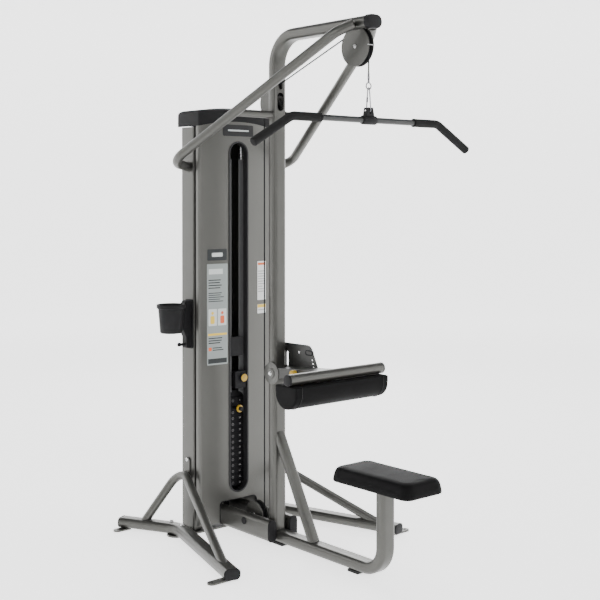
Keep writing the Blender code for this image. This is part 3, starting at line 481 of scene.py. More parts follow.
GREY = (0.074, 0.0735, 0.0675)
PANEL = (0.094, 0.0935, 0.0865)
BLACK = (0.0105, 0.0105, 0.0112)

MATERIALS = {
    "paint": metallic_paint("frame_paint", GREY),
    "panel": metallic_paint("shroud_paint", PANEL, 0.4, 0.62),
    "dark_paint": metallic_paint("bracket_paint", (0.038, 0.038, 0.036), 0.42, 0.5),
    "ear_paint": metallic_paint("ear_paint", (0.085, 0.085, 0.079), 0.42, 0.5),
    "bar_paint": metallic_paint("bar_paint", (0.014, 0.015, 0.015), 0.34, 0.25),
    "plastic": moulded("black_plastic", BLACK, 0.55, 900, 0.25, 0.12),
    "number": moulded("number_print", (0.5, 0.5, 0.5), 0.6, 900, 0.05, 0.2),
    "gloss": moulded("trim_plastic", (0.02, 0.02, 0.021), 0.36, 1200, 0.1, 0.2),
    "rubber": ribbed_rubber("grip_rubber", (0.011, 0.011, 0.011)),
    "foot": moulded("foot_rubber", (0.012, 0.012, 0.012), 0.8, 300, 0.4, 0.3),
    "steel": brushed("bright_steel", (0.6, 0.6, 0.6)),
    "chrome": brushed("guide_rod_chrome", (0.62, 0.62, 0.63), 0.16),
    "iron": moulded("plate_paint", (0.011, 0.011, 0.012), 0.55, 260, 0.35, 0.1),
    "cable": cable_coat("cable_coat"),
    "vinyl": vinyl("pad_vinyl", (0.004, 0.004, 0.0042)),
    "seam": moulded("seam_thread", (0.008, 0.008, 0.008), 0.7, 500, 0.3),
    "yellow": moulded("yellow_plastic", (0.38, 0.23, 0.004), 0.34, 700, 0.12, 0.5),
    "white": moulded("white_print", (0.66, 0.67, 0.66), 0.48, 900, 0.05),
    "sheet": moulded("sheet_print", (0.25, 0.275, 0.27), 0.4, 900, 0.05),
    "pale": moulded("pale_print", (0.52, 0.55, 0.54), 0.45, 900, 0.05),
    "ink": moulded("ink_print", (0.03, 0.033, 0.034), 0.45, 900, 0.05, 0.2),
    "mark": moulded("mark_print", (0.34, 0.35, 0.35), 0.45, 900, 0.05, 0.2),
    # guard strips: dark plastic given a lifted grey to brighten the slot's shade, partly own colour and
    # partly painted light
    "guard": moulded("guard_plastic_painted_light", (0.06, 0.061, 0.062), 0.55, 900, 0.25, 0.15),
    "ring": moulded("pin_ring", (0.12, 0.12, 0.12), 0.5, 900, 0.05, 0.2),
    "cheek_paint": metallic_paint("cheek_paint", shade(GREY, 0.8)),
    "hook_steel": brushed("hook_steel", (0.17, 0.17, 0.18), 0.2),
    "amber": moulded("amber_print", (0.7, 0.48, 0.06), 0.42, 900, 0.05),
    "orange": moulded("orange_print", (0.6, 0.12, 0.025), 0.42, 900, 0.05),
    "red": moulded("red_print", (0.62, 0.11, 0.035), 0.42, 900, 0.05),
}
M = MATERIALS


# ---------------------------------------------------------------- small hardware
def hex_bolt(name, place, axis, across=0.016, height=0.007, washer=0.011, body="frame", material=None):
    """A hex head with a chamfer, on a washer.  place is on the face, axis points out of it."""
    along = Vector(axis).normalized()
    side = along.orthogonal().normalized()
    up = along.cross(side)
    base = Vector(place)
    disc = [(0.0, 0.0), (0.0, washer), (0.0013, washer), (0.0018, washer - 0.0006), (0.0018, 0.0)]
    obj = mesh_object(name, turned(disc, base, along, 40))
    mesh = bmesh.new()
    rings = []
    for t, r in ((0.0018, across / 1.75), (height - 0.001, across / 1.75), (height, across / 2.05)):
        ring = []
        for i in range(6):
            angle = math.pi * i / 3
            spoke = side * math.cos(angle) + up * math.sin(angle)
            ring.append(mesh.verts.new(base + along * t + spoke * r))
        rings.append(ring)
    join_rings(mesh, rings[0], rings[1])
    join_rings(mesh, rings[1], rings[2])
    mesh.faces.new(rings[0])
    mesh.faces.new(rings[2])
    combine(obj, [mesh], "UNION")
    return finish_piece(obj, material or M["steel"], body, (), 0.0004)


def button_bolt(name, place, axis, radius=0.01, height=0.006, body="frame", material=None):
    """A round button head with a hexagon socket."""
    along = Vector(axis).normalized()
    base = Vector(place)
    profile = [(0.0, 0.0), (0.0, radius), (0.0008, radius)]
    for angle in range(10, 91, 10):
        turn = math.radians(angle)
        profile.append((0.0008 + (height - 0.0008) * math.sin(turn), max(radius * math.cos(turn), 0.0)))
    profile[-1] = (height, 0.0)
    socket = turned(
        [
            (height * 0.45, 0.0), (height * 0.45, radius * 0.42),
            (height + 0.004, radius * 0.42), (height + 0.004, 0.0),
        ],
        base, along, 6,
    )
    return piece(
        name, turned(profile, base, along, 40), material or M["steel"], body, (), 0.0003, cuts=[socket]
    )


def weld_bead(name, path, radius=0.0028, closed=False):
    """A rippled weld along a path."""
    random.seed(name)
    mesh = bmesh.new()
    frames = stations(path, (0.31, 0.22, 0.92), closed)
    rings = []
    for i, (point, side, up) in enumerate(frames):
        swell = radius * (1.0 + 0.16 * math.sin(i * 2.1) + random.uniform(-0.06, 0.06))
        rings.append([mesh.verts.new(point + side * u * swell + up * v * swell) for u, v in circle(1.0, 10)])
    for first, second in zip(rings, rings[1:]):
        join_rings(mesh, first, second)
    if closed:
        join_rings(mesh, rings[-1], rings[0])
    else:
        mesh.faces.new(rings[0])
        mesh.faces.new(rings[-1])
    return piece(name, mesh, M["paint"])


# ---------------------------------------------------------------- column, boom, rail and post
def column_path():
    corner = (0, COLUMN_Y, BOOM_Z)
    bottom = (0, COLUMN_Y, RAIL_Z + OVAL_DEPTH / 2 + 0.0003)
    return fillet([bottom, corner, (0, BOOM_END_Y, BOOM_Z)], [0.13], 40)


def rail_path():
    return fillet([(0, 0.05, RAIL_Z), (0, POST_Y, RAIL_Z), (0, POST_Y, 0.372)], [0.1], 32)


def stay_path(side):
    boom = (side * 0.052, -0.53, 2.247)
    near = (side * 0.096, -0.47, 2.216)
    hook = (side * 0.345, 0.35, 1.7)
    tower = (side * (UPRIGHT_X + 0.015), 0.422, 1.681)
    return fillet([tower, hook, near, boom], [0.095, 0.12], 32)


def build_column():
    slot = prism([(u, v + 1.9675) for u, v in rounded_rectangle(0.034, 0.081, 0.0169, 16)], "y", -0.02, 0.03)
    back = [(u, v + COLUMN_PULLEY[1]) for u, v in rounded_rectangle(0.034, 0.17, 0.01, 6)]
    hole = prism([(u, v + 2.044) for u, v in rounded_rectangle(0.024, 0.042, 0.0119, 16)], "y", -0.02, 0.03)
    under = box((-0.0112, BOOM_PULLEY[0] - 0.05, 2.22), (0.0112, BOOM_PULLEY[0] + 0.075, 2.24))
    mesh = swept(column_path(), oval(), (1, 0, 0), inner=oval(-WALL))
    piece(
        "column_tube", mesh, M["paint"], nodes=["column_and_boom"], bevel=0.0006,
        cuts=[slot, prism(back, "y", 0.03, 0.07), hole, under],
    )
    for name, side in SIDES:
        bar = rod((side * 0.035, *CROSSBAR), (side * 0.244, *CROSSBAR), 0.017, 48)
        piece(f"crossbar_{name}", bar, M["paint"])
        path = stay_path(side)
        mesh = swept(path, circle(STAY_R, 48), (0, 0, 1), inner=circle(STAY_R - WALL, 48))
        cuts = [
            swept(column_path(), oval(0.0002), (1, 0, 0)),
            box(
                (min(side * 0.1, side * 0.2053), 0.3, 1.6),
                (max(side * 0.1, side * 0.2053), 0.48, 1.75),
            ),
        ]
        back = (path[-2] - path[-1]).normalized() * 0.003
        plug = rod(path[-1], path[-1] + back, STAY_R - 0.0004, 48)
        piece(
            f"stay_tube_{name}", mesh, M["paint"], nodes=[f"stay_{name}"], bevel=0.0005, cuts=cuts,
            welds=[plug]
        )
        ring = [
            Vector((side * 0.0375 + side * 0.0006, CROSSBAR[0] + u, CROSSBAR[1] + v)) for u,
            v in circle(0.0178, 56)
        ]
        weld_bead(f"crossbar_weld_{name}", ring, 0.0022, closed=True)
        ring = [Vector((side * 0.2056, 0.4185 + u, 1.682 + v)) for u, v in circle(0.0222, 60)]
        weld_bead(f"stay_weld_{name}", ring, 0.0024, closed=True)


def build_boom_cap():
    """The black moulded sleeve over the boom's end, with a shallow domed face."""
    mesh = bmesh.new()
    rings = []
    steps = (
        (-0.5735, 0.0008), (-0.5735, 0.003), (-0.577, 0.0034), (-0.596, 0.003), (-0.6002, 0.0006),
        (-0.6018, -0.006)
    )
    for y, grow in steps:
        corner = (0.0245 if y < -0.575 else OVAL_RADIUS) + grow
        outline = rounded_rectangle(OVAL_WIDTH + 2 * grow, OVAL_DEPTH + 2 * grow, corner, 10)
        rings.append([mesh.verts.new((u, y, v + BOOM_Z)) for u, v in outline])
    close_rings(mesh, rings)
    piece("boom_sleeve_cap", mesh, M["plastic"], nodes=["boom_end_cap"], bevel=0.0012)


def build_rail():
    mesh = swept(rail_path(), oval(), (1, 0, 0), inner=oval(-WALL))
    piece("seat_rail_tube", mesh, M["paint"], nodes=["seat_rail_and_post"], bevel=0.0006)
    plate = prism(
        [(u, v + POST_Y) for u, v in rounded_rectangle(0.11, 0.22, 0.012, 6)], "z", 0.3722, 0.3816
    )
    piece("seat_mount_plate", plate, M["dark_paint"], bevel=0.0012)
    ring = [Vector((u, v + POST_Y, 0.3716)) for u, v in oval(0.0008)]
    weld_bead("seat_post_weld", ring, 0.0022, closed=True)
    plug = prism([(u, v + RAIL_Z) for u, v in oval(-0.003)], "y", 0.044, 0.052)
    piece("rail_back_plug", plug, M["plastic"], bevel=0.0015)
    path = fillet([(0, 0.03, 0.52), (0, -0.06, 0.36), (0, -0.245, 0.02)], [0.5], 24)
    outline = rounded_rectangle(0.05, 0.034, 0.012, 8)
    inner = rounded_rectangle(0.045, 0.029, 0.0095, 8)
    cuts = [swept(column_path(), oval(0.0002), (1, 0, 0)), swept(rail_path(), oval(0.0002), (1, 0, 0))]
    mesh = swept(path, outline, (1, 0, 0), inner=inner)
    piece("rail_brace_tube", mesh, M["paint"], nodes=["rail_brace"], bevel=0.0005, cuts=cuts)


def build_feet():
    for node in ("column_foot", "rail_front_foot"):
        dress(node, M["foot"], 0.002)


# ---------------------------------------------------------------- base beams and stabilisers
def build_beams():
    outline = rounded_rectangle(0.045, 0.095, 0.02, 10)
    inner = rounded_rectangle(0.04, 0.09, 0.0175, 10)
    for name, side in SIDES:
        path = [Vector((side * BEAM_X, BEAM_FRONT_Y, BEAM_Z)), Vector((side * BEAM_X, BEAM_BACK_Y, BEAM_Z))]
        mesh = swept(path, outline, (1, 0, 0), inner=inner)
        piece(f"base_beam_tube_{name}", mesh, M["paint"], nodes=[f"base_beam_{name}"], bevel=0.0006)
        for end, y, out in (("front", BEAM_FRONT_Y, -1), ("back", BEAM_BACK_Y, 1)):
            tube_cap(
                f"base_beam_cap_{name}_{end}", (side * BEAM_X, y, BEAM_Z), (0, out, 0), (1, 0, 0), 0.045,
                0.095, 0.02
            )
        plug = [(0.0, 0.0), (0.0, 0.0165), (0.0022, 0.0165), (0.0034, 0.015), (0.0034, 0.0)]
        place = (side * (BEAM_X + 0.0224), 0.16, 0.08)
        piece(f"base_beam_plug_{name}", turned(plug, place, (side, 0, 0), 48), M["plastic"], bevel=0.0005)


def tube_cap(name, place, axis, across, width, height, radius, body="frame", lip=0.0012):
    """A push-in end cap: a rounded face a little proud of the tube."""
    along = Vector(axis).normalized()
    side = Vector(across).normalized()
    up = along.cross(side)
    mesh = bmesh.new()
    rings = []
    for t, grow in ((0.0004, lip), (0.003, lip), (0.0052, lip - 0.0022), (0.006, lip - 0.006)):
        outline = rounded_rectangle(width + 2 * grow, height + 2 * grow, radius + grow, 8)
        rings.append([mesh.verts.new(Vector(place) + along * t + side * u + up * v) for u, v in outline])
    close_rings(mesh, rings)
    return piece(name, mesh, M["plastic"], body, bevel=0.0006)


def stabiliser_path(side):
    front = (side * 0.474, -0.268, STAB_Z)
    bend = (side * 0.278, 0.385, STAB_Z)
    rear = (side * 0.418, 0.655, STAB_Z)
    return fillet([front, bend, rear], [0.16], 32)


def brace_path(side):
    front = (side * 0.45, -0.186, 0.034)
    apex = (side * 0.224, 0.446, 0.2925)
    rear = (side * 0.366, 0.556, 0.034)
    return fillet([front, apex, rear], [0.085], 32)


def build_stabilisers():
    for name, side in SIDES:
        path = stabiliser_path(side)
        outline = rounded_rectangle(0.045, 0.07, 0.019, 8)
        inner = rounded_rectangle(0.04, 0.065, 0.0165, 8)
        mesh = swept(path, outline, (0, 0, 1), inner=inner)
        piece(f"stabiliser_tube_{name}", mesh, M["paint"], nodes=[f"stabiliser_{name}"], bevel=0.0006)
        for end, point, beyond in (("front", path[0], path[1]), ("rear", path[-1], path[-2])):
            along = (point - beyond).normalized()
            tube_cap(f"stabiliser_cap_{name}_{end}", point, along, (0, 0, 1), 0.045, 0.07, 0.019, lip=0.0008)
            reach = 0.085 if end == "front" else 0.06
            centre = point - along * 0.035
            floor_tab(f"floor_tab_{name}_{end}", centre, side, reach)
        tube = swept(brace_path(side), circle(TUBE_R, 48), (0, 0, 1), inner=circle(TUBE_R - WALL, 48))
        cuts = [swept(path, rounded_rectangle(0.0454, 0.0704, 0.0192, 8), (0, 0, 1))]
        brace = piece(
            f"brace_tube_{name}", tube, M["paint"],
            nodes=[f"stabiliser_brace_{name}"], bevel=0.0005, cuts=cuts,
        )
        face = UPRIGHT_X + 0.0253
        plate = [(u + 0.424, v + 0.285) for u, v in rounded_rectangle(0.036, 0.11, 0.016, 10)]
        low, high = sorted((side * face, side * (face + 0.006)))
        near, far = sorted((side * (face + 0.003), side * 0.243))
        bridge = box((near, 0.408, 0.242), (far, 0.44, 0.274))
        piece(f"brace_plate_{name}", prism(plate, "x", low, high), M["paint"], bevel=0.0012, welds=[bridge])
        button_bolt(f"brace_bolt_{name}", (side * (face + 0.006), 0.424, 0.33), (side, 0, 0), 0.0095)


def floor_tab(name, centre, side, reach):
    outline = arc_points((side * reach, 0), 0.02, -90 * side, 90 * side, 24) + [(0, 0.02), (0, -0.02)]
    if side < 0:
        outline = arc_points((-reach, 0), 0.02, 90, 270, 24) + [(0, -0.02), (0, 0.02)]
    placed = [(centre.x + u, centre.y + v) for u, v in outline]
    hole = turned(
        [(-0.02, 0), (-0.02, 0.0055), (0.03, 0.0055), (0.03, 0)], (centre.x + side * reach, centre.y, 0),
        "z", 32
    )
    piece(name, prism(placed, "z", 0.0, 0.0078), M["paint"], bevel=0.001, cuts=[hole])


# ---------------------------------------------------------------- tower
def shroud_front_y(x):
    return SHROUD_FRONT_Y + SHROUD_SAG * (x / SHROUD_HALF) ** 2


def shroud_top_z(x):
    return SHROUD_TOP + SHROUD_ARCH * (1 - (x / SHROUD_HALF) ** 2)


def shroud_curve(inset, steps=48, corner=8):
    radius = 0.014 - inset
    half = SHROUD_HALF - inset
    front = []
    for i in range(steps + 1):
        x = -half + radius + 2 * (half - radius) * i / steps
        front.append((x, shroud_front_y(x) + inset))
    left_y = front[0][1] + radius
    left = arc_points((-half + radius, left_y), radius, 180, 270, corner)[:-1]
    right = arc_points((half - radius, left_y), radius, 270, 360, corner)[1:]
    back = SHROUD_FRONT_Y + SHROUD_SAG + 0.026
    return [(-half, back)] + left + front + right + [(half, back)]


def slot_outline(half, steps=32):
    high = arc_points((0, SLOT_HIGH - SLOT_HALF), half, 0, 180, steps)
    low = arc_points((0, SLOT_LOW + SLOT_HALF), half, 180, 360, steps)
    return high + low


def build_front_shroud():
    mesh = bmesh.new()
    rings = []
    for inset in (0.0, 0.0025):
        for top in (False, True):
            ring = []
            for x, y in shroud_curve(inset):
                ring.append(mesh.verts.new((x, y, shroud_top_z(x) if top else SHROUD_BOTTOM)))
            rings.append(ring)
    loop = (rings[0], rings[1], rings[3], rings[2])
    for first, second in zip(loop, loop[1:] + loop[:1]):
        for i in range(len(first) - 1):
            mesh.faces.new((first[i], first[i + 1], second[i + 1], second[i]))
    for i in (0, -1):
        mesh.faces.new([ring[i] for ring in loop])
    notch = [(-0.106, 0.0), (0.106, 0.0)] + arc_points((0.086, 0.116), 0.02, 0, 90, 12)
    notch += arc_points((-0.086, 0.116), 0.02, 90, 180, 12)
    cuts = [prism(slot_outline(SLOT_HALF), "y", 0.29, 0.36), prism(notch, "y", 0.29, 0.36)]
    piece("front_panel", mesh, M["panel"], nodes=["front_shroud"], bevel=0.0006, cuts=cuts)


def build_slot_trim():
    """The moulded trim in the slot: a raised lip over the panel and a deep inner wall."""
    lip = prism(slot_outline(SLOT_HALF + 0.0025), "y", SHROUD_FRONT_Y - 0.0028, SHROUD_FRONT_Y - 0.0002)
    wall = prism(slot_outline(SLOT_HALF - 0.0004), "y", SHROUD_FRONT_Y - 0.001, 0.338)
    hole = prism(slot_outline(SLOT_HALF - 0.005), "y", 0.28, 0.37)
    piece("slot_trim", lip, M["gloss"], nodes=["slot_bezel"], bevel=0.0009, welds=[wall], cuts=[hole])
    for name, side in SIDES:
        points = [(0.0205, 0.632), (0.028, 0.631), (0.036, 0.627), (0.044, 0.62), (0.0494, 0.61)]
        points += [(0.0494, 1.706), (0.044, 1.715), (0.036, 1.72), (0.0205, 1.722)]
        strip = prism([(side * x, z) for x, z in points], "y", 0.3344, 0.3379)
        # dark guard strips behind the slot, in a grey lifted as painted light against the slot's shade
        piece(f"slot_guard_{name}", strip, M["guard"], bevel=0.0008)
    notch = []
    for half, top in ((0.1072, 0.1372), (0.1052, 0.1352)):
        radius = half - 0.086
        outline = [(-half, 0.0425), (half, 0.0425)] + arc_points((0.086, top - radius), radius, 0, 90, 12)
        notch.append(outline + arc_points((-0.086, top - radius), radius, 90, 180, 12))
    trim = prism(notch[0], "y", SHROUD_FRONT_Y - 0.0016, SHROUD_FRONT_Y + 0.0075)
    inner = prism([(u, v - 0.01 if v < 0.05 else v) for u, v in notch[1]], "y", 0.28, 0.36)
    piece("foot_opening_trim", trim, M["plastic"], bevel=0.0006, cuts=[inner])


def build_uprights():
    for name, side in SIDES:
        ends = [Vector((side * UPRIGHT_X, UPRIGHT_Y, z)) for z in (0.0083, 1.866)]
        outline = rounded_rectangle(0.05, 0.1, 0.009, 10)
        inner = rounded_rectangle(0.045, 0.095, 0.0065, 10)
        tube = swept(ends, outline, (1, 0, 0), inner=inner)
        piece(f"upright_tube_{name}", tube, M["paint"], nodes=[f"tower_upright_{name}"], bevel=0.0005)
    for node in ("tower_base_plate", "stack_base", "tower_top_crossmember"):
        dress(node, M["paint"], 0.0015)
    dress("rear_shroud", M["panel"], 0.0008)
    for side in (-1, 1):
        for y in (0.352, 0.438):
            name = f"base_plate_bolt_{'left' if side < 0 else 'right'}_{'front' if y < 0.4 else 'rear'}"
            hex_bolt(name, (side * 0.289, y, STAB_Z + 0.0225), (0, 0, 1), 0.015, 0.008)


def cap_ring(level_of, inset):
    """One ring of the tower's cap, as (x, y, z) points."""
    corner = SHROUD_HALF - 0.045
    back = []
    for centre, start in (((corner + 0.009, 0.485), 0), ((-corner - 0.009, 0.485), 90)):
        back += [(centre[0] + u, centre[1] + v) for u, v in arc_points((0, 0), 0.035, start, start + 90, 8)]
    outline = shroud_curve(0.0, 48, 8)[1:-1] + [(SHROUD_HALF, 0.44)] + back + [(-SHROUD_HALF, 0.44)]
    ring = []
    for x, y in outline:
        near = 1 - inset / SHROUD_HALF
        depth = 0.414 + (y - 0.414) * (1 - inset / 0.106)
        ring.append((x * near, depth, level_of(x)))
    return ring


def build_top_cap():
    def edge(x):
        return shroud_top_z(x) + 0.0006

    def flat(z):
        return lambda x: z

    def crown(z, rise):
        return lambda x: z + rise * (1 - (x / SHROUD_HALF) ** 2)

    levels = [
        (0.003, flat(1.921)), (0.003, edge), (0.0, edge), (0.0, flat(1.915)),
        (0.0006, crown(1.926, 0.004))
    ]
    levels += [(0.003, crown(1.933, 0.006)), (0.0085, crown(1.9385, 0.008)), (0.02, crown(1.943, 0.01))]
    levels += [(0.045, crown(1.946, 0.012)), (0.085, crown(1.947, 0.013))]
    mesh = bmesh.new()
    rings = [[mesh.verts.new(p) for p in cap_ring(level, inset)] for inset, level in levels]
    close_rings(mesh, rings)
    piece("tower_cap", mesh, M["plastic"], nodes=["tower_top_cap"], bevel=0.0008)


# ---------------------------------------------------------------- prints on the panel
def panel_patch(mesh, x0, x1, z0, z1, lift, index, radius=0.0):
    """A thin patch with rounded corners that follows the panel's curve, lift in front of it."""
    spots = {round(x0 + (x1 - x0) * i / 24, 6) for i in range(25)}
    for angle in range(0, 91, 10):
        reach = radius * (1 - math.cos(math.radians(angle)))
        spots |= {round(x0 + reach, 6), round(x1 - reach, 6)}
    rows = []
    for x in sorted(spots):
        depth = max(0.0, radius - (x - x0), radius - (x1 - x))
        inset = radius - math.sqrt(max(radius * radius - depth * depth, 0.0))
        back = shroud_front_y(x) - 0.0001
        corners = (
            (back, z0 + inset), (back - lift, z0 + inset), (back - lift, z1 - inset), (back, z1 - inset)
        )
        rows.append([mesh.verts.new((x, y, z)) for y, z in corners])
    before = len(mesh.faces)
    for first, second in zip(rows, rows[1:]):
        join_rings(mesh, first, second)
    mesh.faces.new(rows[0])
    mesh.faces.new(rows[-1])
    mesh.faces.ensure_lookup_table()
    for face in mesh.faces[before:]:
        face.material_index = index


def printed(name, patches, materials):
    mesh = bmesh.new()
    for x0, x1, z0, z1, lift, index, radius in patches:
        panel_patch(mesh, x0, x1, z0, z1, lift, index, radius)
    obj = piece(name, mesh, None)
    for material in materials:
        obj.data.materials.append(M[material])
    return obj


def text_lines(x0, x1, z_top, count, pitch, height, index, lift, seed):
    """Abstract bars in place of lines of words."""
    random.seed(seed)
    patches = []
    for i in range(count):
        end = x0 + (x1 - x0) * random.uniform(0.62, 0.98)
        z = z_top - i * pitch
        patches.append((x0, end, z - height, z, lift, index, 0.0))
    return patches


def build_prints():
    badge = [(-0.088, 0.088, 1.826, 1.879, 0.0012, 0, 0.006)]
    badge += [(-0.06, 0.06, 1.849, 1.856, 0.0016, 1, 0.002)]
    printed("top_badge", badge, ["gloss", "pale"])
    plate = [
        (-0.171, -0.068, 1.253, 1.305, 0.001, 0, 0.003),
        (-0.148, -0.091, 1.27, 1.288, 0.0013, 1, 0.004)
    ]
    printed("model_plate", plate, ["ink", "pale"])
    sheet = [(-0.173, -0.063, 0.773, 1.237, 0.0006, 0, 0.004)]
    sheet += [(-0.164, -0.09, 1.19, 1.214, 0.0008, 1, 0.0)]
    sheet += text_lines(-0.166, -0.074, 1.165, 4, 0.012, 0.0045, 2, 0.0009, 4)
    sheet += text_lines(-0.166, -0.07, 1.105, 5, 0.0095, 0.0035, 2, 0.0009, 7)
    sheet += [
        (-0.166, -0.122, 0.953, 1.03, 0.0008, 1, 0.004),
        (-0.116, -0.07, 0.953, 1.03, 0.0008, 1, 0.004)
    ]
    sheet += [
        (-0.156, -0.134, 0.962, 0.998, 0.001, 3, 0.006),
        (-0.152, -0.138, 1.004, 1.018, 0.001, 3, 0.0068)
    ]
    sheet += [
        (-0.104, -0.082, 0.962, 0.998, 0.001, 4, 0.006),
        (-0.1, -0.086, 1.004, 1.018, 0.001, 4, 0.0068)
    ]
    sheet += [(-0.168, -0.068, 0.908, 0.918, 0.0008, 3, 0.0)]
    sheet += text_lines(-0.166, -0.074, 0.898, 3, 0.011, 0.0045, 2, 0.0009, 9)
    sheet += [(-0.166, -0.15, 0.838, 0.854, 0.0009, 4, 0.003)]
    sheet += text_lines(-0.144, -0.074, 0.853, 2, 0.01, 0.004, 2, 0.0009, 3)
    sheet += [(-0.168, -0.068, 0.78, 0.802, 0.0008, 2, 0.0)]
    printed("instruction_sheet", sheet, ["sheet", "pale", "ink", "amber", "red"])
    note = [(0.115, 0.17, 1.056, 1.24, 0.0006, 0, 0.003), (0.118, 0.167, 1.222, 1.233, 0.0008, 1, 0.0)]
    note += text_lines(0.119, 0.166, 1.195, 9, 0.012, 0.0045, 2, 0.0009, 5)
    printed("right_note", note, ["white", "orange", "mark"])
    small = [
        (0.115, 0.17, 0.993, 1.036, 0.0006, 0, 0.003), (0.1165, 0.1685, 1.02, 1.035, 0.0008, 1, 0.0)
    ]
    small += text_lines(0.119, 0.166, 1.012, 1, 0.012, 0.0045, 2, 0.0009, 6)
    printed("small_note", small, ["white", "amber", "mark"])


# ---------------------------------------------------------------- weight stack
def build_stack():
    for node in ("guide_rod_left", "guide_rod_right"):
        x = -0.095 if node.endswith("left") else 0.095
        mesh = rod((x, ROD_Y, 0.1573), (x, ROD_Y, 1.8447), 0.01, 48)
        piece(node.replace("guide_rod", "chrome_rod"), mesh, M["chrome"], nodes=[node])
        ring = [(0.1573, 0.0106), (0.1573, 0.02), (0.18, 0.02), (0.1837, 0.017), (0.1837, 0.0106)]
        bumper = turned(ring, (x, ROD_Y, 0), "z", 48, ring=True)
        side = node.rsplit("_", 1)[1]
        piece(f"bumper_ring_{side}", bumper, M["foot"], nodes=[f"stack_bumper_{side}"], bevel=0.001)
    for node, body in (("weight_plates_resting", "frame"), ("weight_plates_lifted", "lifted_stack")):
        dress(node, M["iron"], 0.0006)
    dress("selector_stem_and_head", M["iron"], 0.0025)
    dress("increment_weight", M["plastic"], 0.004)
    for i in range(PLATE_COUNT):
        body = "lifted_stack" if i >= PLATE_COUNT - LIFTED_PLATES else "frame"
        z = STACK_BOTTOM + (i + 0.5) * PLATE_PITCH
        number_mark(f"plate_number_{i + 1:02d}", str((PLATE_COUNT - i) * 5), (0.0405, PLATE_FRONT_Y, z), body)
        if i == PLATE_COUNT - LIFTED_PLATES:
            continue
        collar = [(0.0, 0.004), (0.0, 0.0068), (-0.001, 0.0062), (-0.001, 0.004)]
        mesh = turned(collar, (0, PLATE_FRONT_Y, z), "y", 32, ring=True)
        piece(f"plate_pin_ring_{i + 1:02d}", mesh, M["ring"], body)
        # a thin gloss black disc over each pin hole: painted shade in place of the hole's dark inside
        hole = [(-0.0004, 0.0), (-0.0004, 0.0041), (0.0, 0.0041), (0.0, 0.0)]
        piece(f"plate_pin_hole_shade_{i + 1:02d}", turned(hole, (0, PLATE_FRONT_Y, z), "y", 24), M["gloss"], body)


def number_mark(name, words, place, body):
    """A small generic number printed on a plate's front edge."""
    curve = bpy.data.curves.new(name, "FONT")
    curve.body = words
    curve.size = 0.0115
    curve.extrude = 0.0003
    curve.align_x = "CENTER"
    curve.align_y = "CENTER"
    obj = bpy.data.objects.new(name, curve)
    bpy.context.scene.collection.objects.link(obj)
    obj.rotation_euler = (math.radians(90), 0, 0)
    obj.location = Vector(place) - Vector((0, 0.0004, 0))
    bpy.context.view_layer.update()
    graph = bpy.context.evaluated_depsgraph_get()
    data = bpy.data.meshes.new_from_object(obj.evaluated_get(graph))
    data.transform(obj.matrix_world)
    bpy.data.objects.remove(obj)
    mark = bpy.data.objects.new(name, data)
    bpy.context.scene.collection.objects.link(mark)
    finish_piece(mark, M["number"], body, (), 0.0)


def build_pins():
    z = STACK_BOTTOM + (PLATE_COUNT - LIFTED_PLATES + 0.5) * PLATE_PITCH
    shaft = [(0.085, 0), (0.085, 0.0036), (0.082, 0.0045), (-0.011, 0.0045), (-0.011, 0)]
    piece("pin_shaft", turned(shaft, (0, PLATE_FRONT_Y, z), "y", 32), M["steel"], "selector")
    neck = [
        (-0.0105, 0), (-0.0105, 0.0085), (-0.0125, 0.01), (-0.03, 0.0104), (-0.0462, 0.0108),
        (-0.0462, 0)
    ]
    piece("pin_neck", turned(neck, (0, PLATE_FRONT_Y, z), "y", 48), M["plastic"], "selector", bevel=0.0004)
    ring = [(-0.0455, 0), (-0.0455, 0.0125), (-0.0475, 0.0158), (-0.0505, 0.0173), (-0.0535, 0.0175)]
    ring += [(-0.0562, 0.0164), (-0.0575, 0.014), (-0.0575, 0)]
    piece(
        "pin_knob", turned(ring, (0, PLATE_FRONT_Y, z), "y", 56), M["yellow"], "selector",
        nodes=["selector_pin"], bevel=0.0003
    )
    cap = [
        (-0.057, 0), (-0.057, 0.0104), (-0.066, 0.0105), (-0.0685, 0.0098), (-0.07, 0.008),
        (-0.0704, 0)
    ]
    piece("pin_cap", turned(cap, (0, PLATE_FRONT_Y, z), "y", 48), M["plastic"], "selector", bevel=0.0003)
    centre = (0.027, 0.309, 0.699)
    rim = [(-0.0004, 0), (-0.0004, 0.016), (-0.004, 0.0203), (-0.0075, 0.0212), (-0.01, 0.0206)]
    rim += [(-0.0108, 0.0194), (-0.0102, 0.0184), (-0.0085, 0.0182), (-0.0085, 0)]
    piece(
        "dial_rim", turned(rim, centre, "y", 64), M["plastic"], "lifted_stack", nodes=["increment_dial"],
        bevel=0.0003
    )
    face = [
        (-0.008, 0), (-0.008, 0.018), (-0.0096, 0.0178), (-0.01, 0.0168), (-0.0102, 0.006),
        (-0.0112, 0.005)
    ]
    face += [(-0.0112, 0)]
    piece("dial_face", turned(face, centre, "y", 64), M["yellow"], "lifted_stack", bevel=0.0003)


# ---------------------------------------------------------------- pulleys and cable
def pulley(place):
    y, z, cable_radius, rim = place
    root = cable_radius - CABLE_R - 0.0004
    half = 0.01
    profile = [(-half, 0.0085), (-half, 0.013), (-half + 0.002, 0.015), (-half + 0.004, 0.0165)]
    profile += [(-half + 0.004, root - 0.008), (-half + 0.002, root - 0.004), (-half, root - 0.002)]
    profile += [(-half, rim - 0.0012), (-half + 0.001, rim), (-half + 0.003, rim), (-0.0045, root + 0.003)]
    profile += [(-0.003, root + 0.0008), (0.0, root), (0.003, root + 0.0008), (0.0045, root + 0.003)]
    profile += [(half - 0.003, rim), (half - 0.001, rim), (half, rim - 0.0012), (half, root - 0.002)]
    profile += [(half - 0.002, root - 0.004), (half - 0.004, root - 0.008), (half - 0.004, 0.0165)]
    profile += [(half - 0.002, 0.015), (half, 0.013), (half, 0.0085)]
    return turned(profile, (0, y, z), "x", 112, ring=True)


